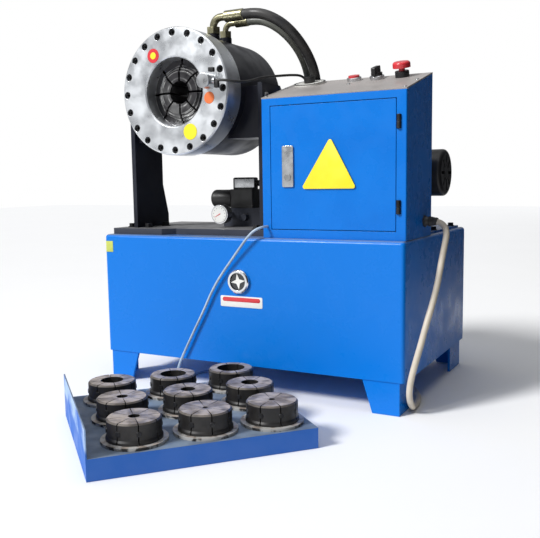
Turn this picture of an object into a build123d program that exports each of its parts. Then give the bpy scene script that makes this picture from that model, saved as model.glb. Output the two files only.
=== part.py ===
from build123d import *
import os
from math import atan2, cos, degrees, hypot, pi, radians, sin, sqrt, tan

os.makedirs("parts", exist_ok=True)

# ---------------------------------------------------------------- driving dimensions (mm)
# Machine frame while modelling: X to the right, Y to the back, Z up, front-left corner of the
# oil tank at X = Y = 0, floor at Z = 0. Everything is moved to the row frame when it is saved.

# Oil tank and legs
TANK_W = 800.0
TANK_D = 520.0
TANK_H = 303.0
TANK_WALL = 3.0
TANK_EDGE_R = 9.0
LEG_H = 73.0
LEG_T = 6.0
LEG_FRONT_TOP = 85.0
LEG_FRONT_FOOT = 62.0
LEG_SIDE = 98.0
LEG_INSET = 10.0
LEG_SETBACK = 2.0
SIGHT_X = 399.5
SIGHT_Z = 273.5
SIGHT_R = 28.5
SIGHT_WINDOW_R = 20.5
SIGHT_DEPTH = 9.0
ACCESS_X0 = 470.0
ACCESS_Y0 = 225.0
ACCESS_MARGIN = 14.0
COVER_T = 5.0
COVER_LAP = 22.0
BREATHER_X = 350.0
BREATHER_Y = 440.0
BREATHER_R = 32.0
BREATHER_H = 46.0

# Head mount: foot plate and two cheeks
FOOT_T = 15.0
FOOT_X0 = 12.0
FOOT_Y0 = 22.0
FOOT_STEP_X = 165.0
FOOT_STEP = 26.0
FOOT_Y1 = 330.0
CHEEK_T = 12.0
CHEEK_Y0 = 50.0
CHEEK_D = 115.0
CHEEK_TOP = 733.0
CHEEK_GAP = 180.0

# Crimping head, axis along Y
HEAD_X = 250.0
HEAD_Z = 716.0
RING_Y0 = -30.0
RING_R = 147.0
RING_T = 60.0
RING_MOUTH_R = 79.0
RING_LIP = 38.0
RING_BOLTS = 20
RING_BOLT_CIRCLE_R = 134.5
BOLT_HEAD_R = 6.8
BOLT_RECESS_R = 8.4
BOLT_RECESS = 15.0
BOLT_HEAD_H = 10.0
BODY_R = 141.0
BODY_BORE_R = 121.0
BODY_L = 220.0
BODY_BACK = 18.0
BODY_REAR_EDGE_R = 12.0
LINER_R = 48.0
THROUGH_R = 40.0
LINER_L = 126.0
PAD_W = 90.0
PAD_H = 120.0
PAD_DROP = 5.0
REAR_CAP_R = 95.0
REAR_CAP_T = 12.0

# Jaws, dies and the wedge ring that closes them
JAWS = 8
DIE_BORE_R = 27.0
DIE_R = 50.0
DIE_L = 70.0
DIE_PROUD = 14.0
JAW_FACE = 98.0
JAW_L = 112.0
JAW_GAP = 5.0
JAW_STEP = 6.0
JAW_NOSE = 10.0
WEDGE_DEG = 15.0
WEDGE_FRONT = 52.0
WEDGE_L = 94.0
PISTON_L = 30.0
SLIDE_CLEAR = 0.3
RUN_FIT = 0.06

# Electrical cabinet
CAB_X0 = 454.0
CAB_X1 = 796.0
CAB_Y0 = 21.0
CAB_Y1 = 207.0
CAB_FRONT_TOP = 693.0
CAB_BACK_TOP = 745.0
CAB_WALL = 2.0
DOOR_SIDE = 22.0
DOOR_Z0 = 395.0
DOOR_Z1 = 674.0
DOOR_T = 18.0
DOOR_GAP = 1.5
LATCH_X = 521.0
LATCH_Z = 537.5
LATCH_W = 26.0
LATCH_H = 89.0
PANEL_T = 3.0

# Controls on the sloping panel, placed along X and up the slope
CONTROL_UP = 150.0
CONTROL_HOLE_R = 11.0
COLLAR_H = 8.0
STOP_COLLAR_H = 14.0
CAP_R = 13.0
PLUNGER_R = 7.0
DIAL_X = 507.0
DIAL_R = 38.0
DIAL_T = 4.0
SPINDLE_R = 4.0
CAP_SEAT = 2.0
CAP_H = 6.0
BUTTON_TRAVEL = 4.0
STOP_TRAVEL = 5.0
BUTTON_X = 621.0
SELECTOR_X = 677.0
STOP_X = 737.0
STOP_R = 20.0
BEZEL_R = 17.0
STOP_COLLAR_R = 16.0
STOP_HEAD_H = 14.0

# Valves
BLOCK_X0 = 256.0
BLOCK_X1 = 436.0
BLOCK_Y0 = 168.5
BLOCK_Y1 = 306.0
BLOCK_H = 47.0
VALVE_Y = 190.0
VALVE_X0 = 279.0
VALVE_X1 = 345.0
VALVE_W = 44.0
VALVE_H = 48.0
SOLENOID_R = 23.0
SOLENOID_L = 62.0
GAUGE_R = 24.0
GAUGE_X = 282.0
GAUGE_Z = 424.0
GAUGE_T = 24.0
GAUGE_STEM = 36.0

# Motor and pump, axis along X
MOTOR_Y = 335.0
MOTOR_Z = 520.0
MOTOR_R = 57.0
MOTOR_X0 = 592.0
MOTOR_X1 = 735.0
COWL_X1 = 797.0
COWL_WALL = 1.5
FAN_R = 46.0
PUMP_L = 150.0

# Hydraulic ports on the head, hoses and cords
PORT_X = 290.0
CLOSE_PORT_Y = 88.0
OPEN_PORT_Y = 144.0
CLOSE_HOSE_D = 24.0
OPEN_HOSE_D = 19.0
MAINS_D = 14.0
PEDAL_CORD_D = 6.0
PROBE_CORD_D = 6.0
VALVE_CORD_D = 8.0
PROBE_R = 17.0
PROBE_L = 32.0
PROBE_X = 351.0
PROBE_Z = 731.0
CLOSE_RISE = 38.0
CLOSE_RUN = 36.0
CLOSE_FERRULE = 51.0
OPEN_RISE = 34.0
OPEN_RUN = 32.0
OPEN_FERRULE = 36.0
CLOSE_BLOCK_X = 413.0
CLOSE_BLOCK_Y = 256.0
OPEN_BLOCK_X = 378.0
OPEN_BLOCK_Y = 286.0
PORT_FERRULE = 22.0
PORT_NUT_H = 14.0
GLAND_Y = 149.0
GLAND_Z = 411.0
GLAND_NUT_H = 5.0
GLAND_L = 12.0

# Coils of the put-away lengths, the plug and the foot switch, under the tank
MAINS_COIL_X = 600.0
MAINS_COIL_Y = 408.0
MAINS_COIL_R = 74.0
MAINS_COIL_BUILD = 28.0
PLUG_L = 45.0
PLUG_TAIL = 25.0
PEDAL_COIL_X = 290.0
PEDAL_COIL_Y = 330.0
PEDAL_COIL_R = 34.0
PEDAL_COIL_BUILD = 12.0
SWITCH_X = 380.0
SWITCH_Y = 330.0
SWITCH_L = 120.0
SWITCH_W = 90.0
SWITCH_H = 30.0
PEDAL_PIN_IN = 30.0
PEDAL_PIN_Z = 24.0

# Die tray on the floor and the nine loose die sets in it
TRAY_TURN = 48.1
TRAY_U0 = -96.0
TRAY_U1 = 336.0
TRAY_V0 = -68.0
TRAY_V1 = 330.0
TRAY_H = 40.0
TRAY_SIDE_H = 93.0
TRAY_T = 2.5
TRAY_X = 436.0
TRAY_Y = -449.0
SET_PITCH_U = 134.0
SET_PITCH_V = 135.0
SET_R = 50.5
SET_FOOT_R = 62.0
SET_H = 45.0
SET_FOOT_T = 5.5
SET_GAP = 2.2

# ---------------------------------------------------------------- derived places
TANK_TOP = LEG_H + TANK_H
FOOT_TOP = TANK_TOP + FOOT_T
COVER_TOP = TANK_TOP + COVER_T
SECTOR = 360.0 / JAWS
WEDGE_TAN = tan(radians(WEDGE_DEG))
LIP_BACK = RING_Y0 + RING_LIP
RING_BACK = RING_Y0 + RING_T
BODY_Y1 = RING_BACK + BODY_L
JAW_Y0 = LIP_BACK + SLIDE_CLEAR
JAW_Y1 = JAW_Y0 + JAW_L
PANEL_SLOPE = degrees(atan2(CAB_BACK_TOP - CAB_FRONT_TOP, CAB_Y1 - CAB_Y0))
CONTROL_SLOPE_UP = CONTROL_UP / cos(radians(PANEL_SLOPE))


def tray_point(u, v):
    """Machine X and Y of a point of the tray, u along its front edge and v towards its back."""
    turn = radians(TRAY_TURN)
    return (TRAY_X + u * cos(turn) - v * sin(turn), TRAY_Y + u * sin(turn) + v * cos(turn))


ROW_X = TANK_W / 2
ROW_Y = (tray_point(TRAY_U0, TRAY_V0)[1] + TANK_D) / 2


def save(name, *solids):
    """Write one node, moved from the machine frame to the row frame."""
    flat = [Pos(-ROW_X, -ROW_Y, 0) * piece for solid in solids for piece in solid.solids()]
    shape = flat[0] if len(flat) == 1 else Compound(children=flat)
    export_step(shape, f"parts/{name}.step")


def block(x0, x1, y0, y1, z0, z1):
    """A box between two corners."""
    return Pos((x0 + x1) / 2, (y0 + y1) / 2, (z0 + z1) / 2) * Box(x1 - x0, y1 - y0, z1 - z0)


def round_z(x, y, z, r, h):
    """A cylinder standing up from z."""
    return Pos(x, y, z + h / 2) * Cylinder(r, h)


def round_y(x, y, z, r, length):
    """A cylinder from y towards the back."""
    return Pos(x, y + length / 2, z) * Rot(90, 0, 0) * Cylinder(r, length)


def round_x(x, y, z, r, length):
    """A cylinder from x towards the right."""
    return Pos(x + length / 2, y, z) * Rot(0, 90, 0) * Cylinder(r, length)


def hex_z(x, y, z, across, h):
    """A hexagonal prism standing up from z."""
    return Pos(x, y, z) * extrude(RegularPolygon(across / 2, 6, major_radius=False), h)


def yz_prism(points, x0, x1):
    """A prism with a profile in the YZ plane between x0 and x1."""
    return Pos(x0, 0, 0) * extrude(Plane.YZ * make_face(Polyline(*points, close=True)), x1 - x0)


def xz_prism(points, y0, y1):
    """A prism with a profile in the XZ plane between y0 and y1."""
    return Pos(0, y1, 0) * extrude(Plane.XZ * make_face(Polyline(*points, close=True)), y1 - y0)


def head_turned(shape, angle):
    """Turn a shape about the head's axis, clockwise as seen from the front."""
    centre = Pos(HEAD_X, 0, HEAD_Z)
    return centre * Rot(0, angle, 0) * centre.inverse() * shape


def head_revolve(points):
    """A ring about the head's axis from (radius, y) points."""
    profile = make_face(Polyline(*points, close=True))
    return Pos(HEAD_X, 0, HEAD_Z) * Rot(0, 0, 0) * revolve(profile, Axis.Y)


def vertical_edges(shape):
    return shape.edges().filter_by(Axis.Z)


# ---------------------------------------------------------------- oil tank
def make_tank():
    outer = block(0, TANK_W, 0, TANK_D, LEG_H, TANK_TOP)
    outer = fillet(vertical_edges(outer), TANK_EDGE_R)
    outer = fillet(outer.edges().group_by(Axis.Z)[-1], TANK_EDGE_R)
    inner = block(TANK_WALL, TANK_W - TANK_WALL, TANK_WALL, TANK_D - TANK_WALL,
                  LEG_H + TANK_WALL, TANK_TOP - TANK_WALL)
    inner = fillet(vertical_edges(inner), TANK_EDGE_R - TANK_WALL)
    access = block(ACCESS_X0 + COVER_LAP, TANK_W - ACCESS_MARGIN - COVER_LAP,
                   ACCESS_Y0 + COVER_LAP, TANK_D - ACCESS_MARGIN - COVER_LAP,
                   TANK_TOP - 2 * TANK_WALL, TANK_TOP + TANK_WALL)
    sight = round_y(SIGHT_X, -TANK_WALL, SIGHT_Z, SIGHT_WINDOW_R, 3 * TANK_WALL)
    neck = round_z(BREATHER_X, BREATHER_Y, TANK_TOP - 2 * TANK_WALL, BREATHER_R * 0.6, 4 * TANK_WALL)
    return outer - inner - access - sight - neck


def make_cover():
    plate = block(ACCESS_X0, TANK_W - ACCESS_MARGIN, ACCESS_Y0, TANK_D - ACCESS_MARGIN,
                  TANK_TOP, COVER_TOP)
    return fillet(vertical_edges(plate), 6)


def make_leg(right, back):
    """One angle-iron foot: a tapering flange along X and a straight one along Y."""
    front = xz_prism([(0, 0), (LEG_FRONT_FOOT, 0), (LEG_FRONT_TOP, LEG_H), (0, LEG_H)], 0, LEG_T)
    side = block(0, LEG_T, 0, LEG_SIDE, 0, LEG_H)
    leg = Pos(LEG_INSET, LEG_SETBACK, 0) * (front + side)
    if right:
        leg = Pos(TANK_W, 0, 0) * mirror(leg, Plane.YZ)
    if back:
        leg = Pos(0, TANK_D, 0) * mirror(leg, Plane.XZ)
    return leg


def make_sight_ring():
    ring = round_y(SIGHT_X, -SIGHT_DEPTH, SIGHT_Z, SIGHT_R, SIGHT_DEPTH)
    ring = chamfer(ring.edges().group_by(Axis.Y)[0], 3)
    return ring - round_y(SIGHT_X, -2 * SIGHT_DEPTH, SIGHT_Z, SIGHT_WINDOW_R, 3 * SIGHT_DEPTH)


def make_sight_lens():
    """The window, standing in the ring with the reflector face behind it."""
    return round_y(SIGHT_X, -SIGHT_DEPTH * 0.55, SIGHT_Z, SIGHT_WINDOW_R - RUN_FIT,
                   SIGHT_DEPTH * 0.55 + TANK_WALL)


def make_breather():
    stem = round_z(BREATHER_X, BREATHER_Y, TANK_TOP, BREATHER_R * 0.72, 12)
    cap = round_z(BREATHER_X, BREATHER_Y, TANK_TOP + 12, BREATHER_R, BREATHER_H - 12)
    cap = fillet(cap.edges().group_by(Axis.Z)[-1], 7)
    return stem + cap


def deck_bolt(x, y, z, across=17.0, h=8.0):
    """A hexagon bolt head on its washer."""
    return round_z(x, y, z, across * 0.72, 2) + hex_z(x, y, z + 2, across, h)


def make_deck_bolts():
    bolts = []
    edge = COVER_LAP / 2
    for x in (ACCESS_X0 + edge, TANK_W - ACCESS_MARGIN - edge):
        for y in (ACCESS_Y0 + 75, TANK_D - 55):
            bolts.append(deck_bolt(x, y, COVER_TOP, 13, 7))
    foot_inset = 20.0
    cheek_outer = CHEEK_GAP + CHEEK_T
    for x in (HEAD_X - cheek_outer - foot_inset, HEAD_X - cheek_outer + CHEEK_T + foot_inset,
              HEAD_X + cheek_outer - CHEEK_T - foot_inset):
        for y in (CHEEK_Y0 + 20, CHEEK_Y0 + CHEEK_D - 20):
            bolts.append(deck_bolt(x, y, FOOT_TOP))
    return bolts


# ---------------------------------------------------------------- head mount
def make_foot_plate():
    x1 = HEAD_X + CHEEK_GAP + CHEEK_T + 6
    points = [(FOOT_X0, FOOT_Y0), (FOOT_STEP_X, FOOT_Y0), (FOOT_STEP_X + FOOT_STEP, FOOT_Y0 + FOOT_STEP),
              (x1, FOOT_Y0 + FOOT_STEP), (x1, FOOT_Y1), (FOOT_X0, FOOT_Y1)]
    plate = Pos(0, 0, TANK_TOP) * extrude(make_face(Polyline(*points, close=True)), FOOT_T)
    return fillet(vertical_edges(plate), 3)


def make_cheek(side):
    """A side plate with a cut-back upper rear corner, standing on the foot plate."""
    inner = HEAD_X + side * CHEEK_GAP
    outer = inner + side * CHEEK_T
    y1 = CHEEK_Y0 + CHEEK_D
    points = [(CHEEK_Y0, FOOT_TOP), (y1 + 22, FOOT_TOP), (y1 + 22, FOOT_TOP + 30), (y1, FOOT_TOP + 110),
              (y1, CHEEK_TOP - 25), (y1 - 25, CHEEK_TOP), (CHEEK_Y0, CHEEK_TOP)]
    if side > 0:
        points[1] = (y1, FOOT_TOP)
        points.pop(2)
        points.pop(2)
    return yz_prism(points, min(inner, outer), max(inner, outer))


# ---------------------------------------------------------------- crimping head
def make_front_ring():
    """The bolted front flange: lip in front, pocket for the jaws behind."""
    edge = 3.0
    pocket_r = BODY_BORE_R
    ring = head_revolve([(RING_MOUTH_R, RING_Y0 + edge), (RING_MOUTH_R + edge, RING_Y0),
                         (RING_R - edge, RING_Y0), (RING_R, RING_Y0 + edge), (RING_R, RING_BACK),
                         (pocket_r, RING_BACK), (pocket_r, LIP_BACK), (RING_MOUTH_R, LIP_BACK)])
    for i in range(RING_BOLTS):
        angle = 2 * pi * i / RING_BOLTS
        ring -= round_y(HEAD_X + RING_BOLT_CIRCLE_R * sin(angle), RING_Y0 - 1,
                        HEAD_Z + RING_BOLT_CIRCLE_R * cos(angle), BOLT_RECESS_R, BOLT_RECESS + 1)
    return ring


def make_ring_bolts():
    bolts = []
    head_y = RING_Y0 + BOLT_RECESS - BOLT_HEAD_H
    for i in range(RING_BOLTS):
        angle = 2 * pi * i / RING_BOLTS
        x = HEAD_X + RING_BOLT_CIRCLE_R * sin(angle)
        z = HEAD_Z + RING_BOLT_CIRCLE_R * cos(angle)
        head = round_y(x, head_y, z, BOLT_HEAD_R, BOLT_HEAD_H)
        socket = Pos(x, head_y + 5, z) * Rot(90, 0, 0) * extrude(RegularPolygon(4, 6), 6)
        bolts.append(head - socket)
    return bolts


def make_head_body():
    """Cylinder, back wall and inner liner in one, with a mounting pad on each side."""
    tube = head_revolve([(BODY_BORE_R, RING_BACK), (BODY_R, RING_BACK),
                         (BODY_R, BODY_Y1 - BODY_REAR_EDGE_R),
                         (BODY_R - BODY_REAR_EDGE_R * 0.3, BODY_Y1 - BODY_REAR_EDGE_R * 0.3),
                         (BODY_R - BODY_REAR_EDGE_R, BODY_Y1),
                         (THROUGH_R, BODY_Y1), (THROUGH_R, BODY_Y1 - LINER_L),
                         (LINER_R, BODY_Y1 - LINER_L), (LINER_R, BODY_Y1 - BODY_BACK),
                         (BODY_BORE_R, BODY_Y1 - BODY_BACK)])
    pad_y = CHEEK_Y0 + CHEEK_D / 2
    pads = block(HEAD_X - CHEEK_GAP, HEAD_X + CHEEK_GAP, pad_y - PAD_W / 2, pad_y + PAD_W / 2,
                 CHEEK_TOP - PAD_DROP - PAD_H, CHEEK_TOP - PAD_DROP)
    pads -= round_y(HEAD_X, RING_BACK, HEAD_Z, BODY_R - 2, BODY_L)
    body = tube + pads
    for y, top in ((CLOSE_PORT_Y, close_boss_top()), (OPEN_PORT_Y, open_boss_top())):
        boss = round_z(PORT_X, y, HEAD_Z + BODY_R * 0.85, 15, top - HEAD_Z - BODY_R * 0.85)
        boss -= round_y(HEAD_X, RING_BACK, HEAD_Z, BODY_R - 2, BODY_L)
        body += boss
    return body


def close_boss_top():
    return HEAD_Z + sqrt(BODY_R ** 2 - (PORT_X - HEAD_X) ** 2) + 9


def open_boss_top():
    return close_boss_top() - 1


def make_rear_cap():
    cap = head_revolve([(THROUGH_R, BODY_Y1), (REAR_CAP_R, BODY_Y1), (REAR_CAP_R, BODY_Y1 + REAR_CAP_T - 2),
                        (REAR_CAP_R - 2, BODY_Y1 + REAR_CAP_T), (THROUGH_R, BODY_Y1 + REAR_CAP_T)])
    heads = []
    for i in range(JAWS):
        head = round_y(HEAD_X, BODY_Y1 + REAR_CAP_T, HEAD_Z + REAR_CAP_R - 16, BOLT_HEAD_R, BOLT_HEAD_H)
        heads.append(head_turned(head, SECTOR * i))
    return [cap] + heads


def wedge_face(y):
    """Distance from the head's axis to the flat outer face of a jaw at y."""
    return JAW_FACE - (y - JAW_Y0) * WEDGE_TAN


def make_wedge_ring():
    """The ring that the piston pushes forward: an eight-sided tapered hole closes the jaws."""
    y0 = WEDGE_FRONT
    y1 = y0 + WEDGE_L
    ring = round_y(HEAD_X, y0, HEAD_Z, BODY_BORE_R - RUN_FIT, WEDGE_L)
    clear = SLIDE_CLEAR / cos(radians(WEDGE_DEG))
    front = Plane(origin=(HEAD_X, y0 - 1, HEAD_Z), x_dir=(1, 0, 0), z_dir=(0, 1, 0))
    back = Plane(origin=(HEAD_X, y1 + 1, HEAD_Z), x_dir=(1, 0, 0), z_dir=(0, 1, 0))
    big = front * RegularPolygon(wedge_face(y0 - 1) + clear, JAWS, major_radius=False)
    small = back * RegularPolygon(wedge_face(y1 + 1) + clear, JAWS, major_radius=False)
    hole = loft([big, small])
    return ring - hole


def make_piston():
    y0 = WEDGE_FRONT + WEDGE_L
    return head_revolve([(LINER_R + RUN_FIT, y0), (BODY_BORE_R - RUN_FIT, y0),
                         (BODY_BORE_R - RUN_FIT, y0 + PISTON_L), (LINER_R + RUN_FIT, y0 + PISTON_L)])


def jaw_sector(y0, y1, reach):
    """The space of one jaw between its two neighbours' gaps, pointing up from the axis."""
    half = radians(SECTOR / 2)
    start = JAW_GAP / 2 / sin(half)
    wide = reach * tan(half)
    points = [(HEAD_X, HEAD_Z + start), (HEAD_X + wide, HEAD_Z + start + reach),
              (HEAD_X - wide, HEAD_Z + start + reach)]
    return xz_prism(points, y0, y1)


def make_jaw():
    """A master jaw and the die segment that it carries, pointing up from the axis."""
    seat = DIE_R
    inner_step = HEAD_Z + seat + JAW_STEP
    outer_step = HEAD_Z + seat + 2 * JAW_STEP
    nose = JAW_Y0 - JAW_NOSE
    shoulder = JAW_Y0 - JAW_NOSE / 2
    profile = [(nose, HEAD_Z), (nose, inner_step), (shoulder, inner_step), (shoulder, outer_step),
               (JAW_Y0, outer_step), (JAW_Y0, HEAD_Z + JAW_FACE),
               (JAW_Y1, HEAD_Z + wedge_face(JAW_Y1)), (JAW_Y1, HEAD_Z)]
    jaw = yz_prism(profile, HEAD_X - JAW_FACE, HEAD_X + JAW_FACE)
    jaw = jaw & jaw_sector(nose, JAW_Y1, 2 * JAW_FACE)
    jaw -= round_y(HEAD_X, JAW_Y0 - 20, HEAD_Z, seat, JAW_L + 40)
    die_y0 = JAW_Y0 - DIE_PROUD
    die = round_y(HEAD_X, die_y0, HEAD_Z, DIE_R - SLIDE_CLEAR / 3, DIE_L) & jaw_sector(
        die_y0, die_y0 + DIE_L, 2 * JAW_FACE)
    die -= round_y(HEAD_X, die_y0 - 1, HEAD_Z, DIE_BORE_R, DIE_L + 2)
    return [jaw, die]


def make_probe():
    body = round_y(PROBE_X, RING_Y0 - PROBE_L, PROBE_Z, PROBE_R, PROBE_L)
    body = fillet(body.edges().group_by(Axis.Y)[0], 1.5)
    stub = round_x(PROBE_X + PROBE_R - 3, RING_Y0 - PROBE_L / 2, PROBE_Z, 5.5, 3 + 6)
    return body + stub


# ---------------------------------------------------------------- hydraulic fittings
def make_fitting(y, boss_top, nut, tube_r, rise, run, ferrule_r, ferrule_l):
    """Nut, swept elbow and crimped ferrule from a head port towards +X."""
    nut_h = 16.0
    bend = rise - nut_h - 1
    body = hex_z(PORT_X, y, boss_top, nut, nut_h)
    path = FilletPolyline((PORT_X, y, boss_top + nut_h - 2), (PORT_X, y, boss_top + rise),
                          (PORT_X + run, y, boss_top + rise), radius=bend)
    pipe = sweep(Plane(origin=path @ 0, z_dir=path % 0) * Circle(tube_r), path)
    ferrule = round_x(PORT_X + run - 2, y, boss_top + rise, ferrule_r, ferrule_l)
    ferrule = chamfer(ferrule.edges().filter_by(GeomType.CIRCLE), 1.5)
    return body + pipe + ferrule


def make_hose_fittings():
    close = make_fitting(CLOSE_PORT_Y, close_boss_top(), 30, 9, CLOSE_RISE, CLOSE_RUN, 13.5, CLOSE_FERRULE)
    opened = make_fitting(OPEN_PORT_Y, open_boss_top(), 27, 7, OPEN_RISE, OPEN_RUN, 11, OPEN_FERRULE)
    return [close, opened]


def block_port(x, y, r, h):
    """A hose end standing on the valve block: nut below, ferrule above."""
    z0 = FOOT_TOP + BLOCK_H
    return hex_z(x, y, z0, 2 * r + 5, PORT_NUT_H) + round_z(x, y, z0 + PORT_NUT_H, r, h)


def make_valve_block():
    body = block(BLOCK_X0, BLOCK_X1, BLOCK_Y0, BLOCK_Y1, FOOT_TOP, FOOT_TOP + BLOCK_H)
    body = chamfer(vertical_edges(body), 3)
    plug = round_y(BLOCK_X0 + 68, BLOCK_Y0 - 14, FOOT_TOP + BLOCK_H / 2, 9, 14)
    return [body, plug, block_port(CLOSE_BLOCK_X, CLOSE_BLOCK_Y, 13.5, PORT_FERRULE),
            block_port(OPEN_BLOCK_X, OPEN_BLOCK_Y, 11, PORT_FERRULE)]


def make_solenoid_valve():
    """Directional valve body with its solenoid on the left, ending in a domed cap."""
    z0 = FOOT_TOP + BLOCK_H
    body = block(VALVE_X0, VALVE_X1, VALVE_Y - VALVE_W / 2, VALVE_Y + VALVE_W / 2, z0, z0 + VALVE_H)
    body = chamfer(vertical_edges(body), 2)
    axis_z = z0 + VALVE_H / 2
    coil = round_x(VALVE_X0 - SOLENOID_L, VALVE_Y, axis_z, SOLENOID_R, SOLENOID_L)
    coil = fillet(coil.edges().group_by(Axis.X)[0], 9)
    nose = round_x(VALVE_X0 - SOLENOID_L - 5, VALVE_Y, axis_z, 6, 6)
    return body + coil + nose


def make_valve_connector():
    z0 = FOOT_TOP + BLOCK_H + VALVE_H
    box = block(VALVE_X0 + 6, VALVE_X1 - 4, VALVE_Y - 15, VALVE_Y + 15, z0, z0 + 30)
    box = fillet(box.edges().group_by(Axis.Z)[-1], 4)
    gland = round_x(VALVE_X1 - 6, VALVE_Y, z0 + 15, 8, 12)
    return box + gland


def make_gauge():
    """Pressure gauge facing the front, on a stem from the block."""
    front = BLOCK_Y0 - GAUGE_STEM - GAUGE_T
    case = round_y(GAUGE_X, front, GAUGE_Z, GAUGE_R, GAUGE_T)
    face = round_y(GAUGE_X, front - 1, GAUGE_Z, GAUGE_R - 3.5, 4)
    stem = round_y(GAUGE_X, BLOCK_Y0 - GAUGE_STEM - 1, GAUGE_Z, 6, GAUGE_STEM + 1)
    return case - face + stem


# ---------------------------------------------------------------- motor and pump
def make_motor():
    """Finned frame on a foot bracket, with its terminal box on top."""
    length = MOTOR_X1 - MOTOR_X0
    core = round_x(MOTOR_X0, MOTOR_Y, MOTOR_Z, MOTOR_R - 7, length)
    shields = round_x(MOTOR_X0, MOTOR_Y, MOTOR_Z, MOTOR_R - 1, 12)
    shields += round_x(MOTOR_X1 - 10, MOTOR_Y, MOTOR_Z, MOTOR_R - 1, 10)
    frame = core + shields
    fins = 24
    for i in range(fins):
        angle = 360.0 * i / fins
        fin = block(MOTOR_X0 + 10, MOTOR_X1 - 9, -1.2, 1.2, MOTOR_R - 9, MOTOR_R - 1)
        frame += Pos(0, MOTOR_Y, MOTOR_Z) * Rot(angle, 0, 0) * fin
    stand = block(MOTOR_X0 + 20, MOTOR_X1 - 20, MOTOR_Y - 38, MOTOR_Y + 38, COVER_TOP, MOTOR_Z - MOTOR_R + 14)
    stand -= block(MOTOR_X0 + 28, MOTOR_X1 - 28, MOTOR_Y - 60, MOTOR_Y + 60, COVER_TOP + 10,
                   MOTOR_Z - MOTOR_R - 4)
    foot = block(MOTOR_X0 + 12, MOTOR_X1 - 12, MOTOR_Y - 60, MOTOR_Y + 60, COVER_TOP, COVER_TOP + 8)
    terminal = block(MOTOR_X0 + 35, MOTOR_X1 - 38, MOTOR_Y - 30, MOTOR_Y + 30, MOTOR_Z + MOTOR_R - 12,
                     MOTOR_Z + MOTOR_R + 32)
    terminal = fillet(vertical_edges(terminal), 5)
    frame = frame + stand + foot + terminal
    return frame - round_x(MOTOR_X0 - 1, MOTOR_Y, MOTOR_Z, 12 + RUN_FIT, length + 2)


def make_fan_cowl():
    """A pressed cowl with a shallow domed end and radial air slots."""
    x0 = MOTOR_X1
    length = COWL_X1 - x0
    outer = round_x(x0, MOTOR_Y, MOTOR_Z, MOTOR_R, length)
    outer = fillet(outer.edges().group_by(Axis.X)[-1], 10)
    inner = round_x(x0 - 1, MOTOR_Y, MOTOR_Z, MOTOR_R - COWL_WALL, length + 1 - COWL_WALL)
    inner = fillet(inner.edges().group_by(Axis.X)[-1], 10 - COWL_WALL)
    cowl = outer - inner
    for i in range(8):
        slot = block(COWL_X1 - 4, COWL_X1 + 4, -3.5, 3.5, 16, MOTOR_R - 14)
        cowl -= Pos(0, MOTOR_Y, MOTOR_Z) * Rot(45.0 * i, 0, 0) * slot
    return cowl


def make_rotor():
    """Shaft through the motor with the cooling fan on its outer end."""
    shaft = round_x(MOTOR_X0 - 20, MOTOR_Y, MOTOR_Z, 12, COWL_X1 - MOTOR_X0 - 4)
    hub_x = MOTOR_X1 + 14
    fan = round_x(hub_x, MOTOR_Y, MOTOR_Z, 18, 26) + round_x(hub_x, MOTOR_Y, MOTOR_Z, FAN_R, 3)
    for i in range(7):
        blade = block(hub_x + 2, hub_x + 26, -1.2, 1.2, 16, FAN_R)
        fan += Pos(0, MOTOR_Y, MOTOR_Z) * Rot(360.0 * i / 7, 0, 0) * blade
    return shaft + fan


def make_pump():
    """Bell housing bolted to the motor and the gear pump on its front."""
    x1 = MOTOR_X0
    bell = round_x(x1 - 62, MOTOR_Y, MOTOR_Z, MOTOR_R - 10, 62)
    bell += round_x(x1 - 10, MOTOR_Y, MOTOR_Z, MOTOR_R, 10)
    bell -= round_x(x1 - 50, MOTOR_Y, MOTOR_Z, MOTOR_R - 22, 60)
    x0 = x1 - PUMP_L
    body = block(x0, x1 - 62, MOTOR_Y - 36, MOTOR_Y + 36, MOTOR_Z - 44, MOTOR_Z + 44)
    body = chamfer(body.edges().filter_by(Axis.X), 12)
    suction = round_z(x0 + 34, MOTOR_Y, COVER_TOP, 14, MOTOR_Z - 44 - COVER_TOP)
    flange = round_z(x0 + 34, MOTOR_Y, COVER_TOP, 26, 8)
    outlet = round_z(x0 + 34, MOTOR_Y, MOTOR_Z + 44, 13, 16)
    return body + bell + suction + flange + outlet


# ---------------------------------------------------------------- electrical cabinet
def panel_z(y):
    """Height of the cabinet's sloping top edge at y."""
    return CAB_FRONT_TOP + (y - CAB_Y0) * (CAB_BACK_TOP - CAB_FRONT_TOP) / (CAB_Y1 - CAB_Y0)


def make_cabinet():
    """Folded sheet case with a sloping top opening and a front frame round the door."""
    drop = PANEL_T / cos(radians(PANEL_SLOPE))
    outer = yz_prism([(CAB_Y0, TANK_TOP), (CAB_Y1, TANK_TOP), (CAB_Y1, CAB_BACK_TOP - drop),
                      (CAB_Y0, CAB_FRONT_TOP - drop)], CAB_X0, CAB_X1)
    outer = fillet(outer.edges().filter_by(Axis.Z).group_by(Axis.Y)[0], 3)
    w = CAB_WALL
    inner = yz_prism([(CAB_Y0 + w, TANK_TOP + w), (CAB_Y1 - w, TANK_TOP + w),
                      (CAB_Y1 - w, CAB_BACK_TOP + 20), (CAB_Y0 + w, CAB_FRONT_TOP + 20)],
                     CAB_X0 + w, CAB_X1 - w)
    door_hole = block(CAB_X0 + DOOR_SIDE, CAB_X1 - DOOR_SIDE, CAB_Y0 - 5, CAB_Y0 + 10, DOOR_Z0, DOOR_Z1)
    return outer - inner - door_hole


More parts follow.
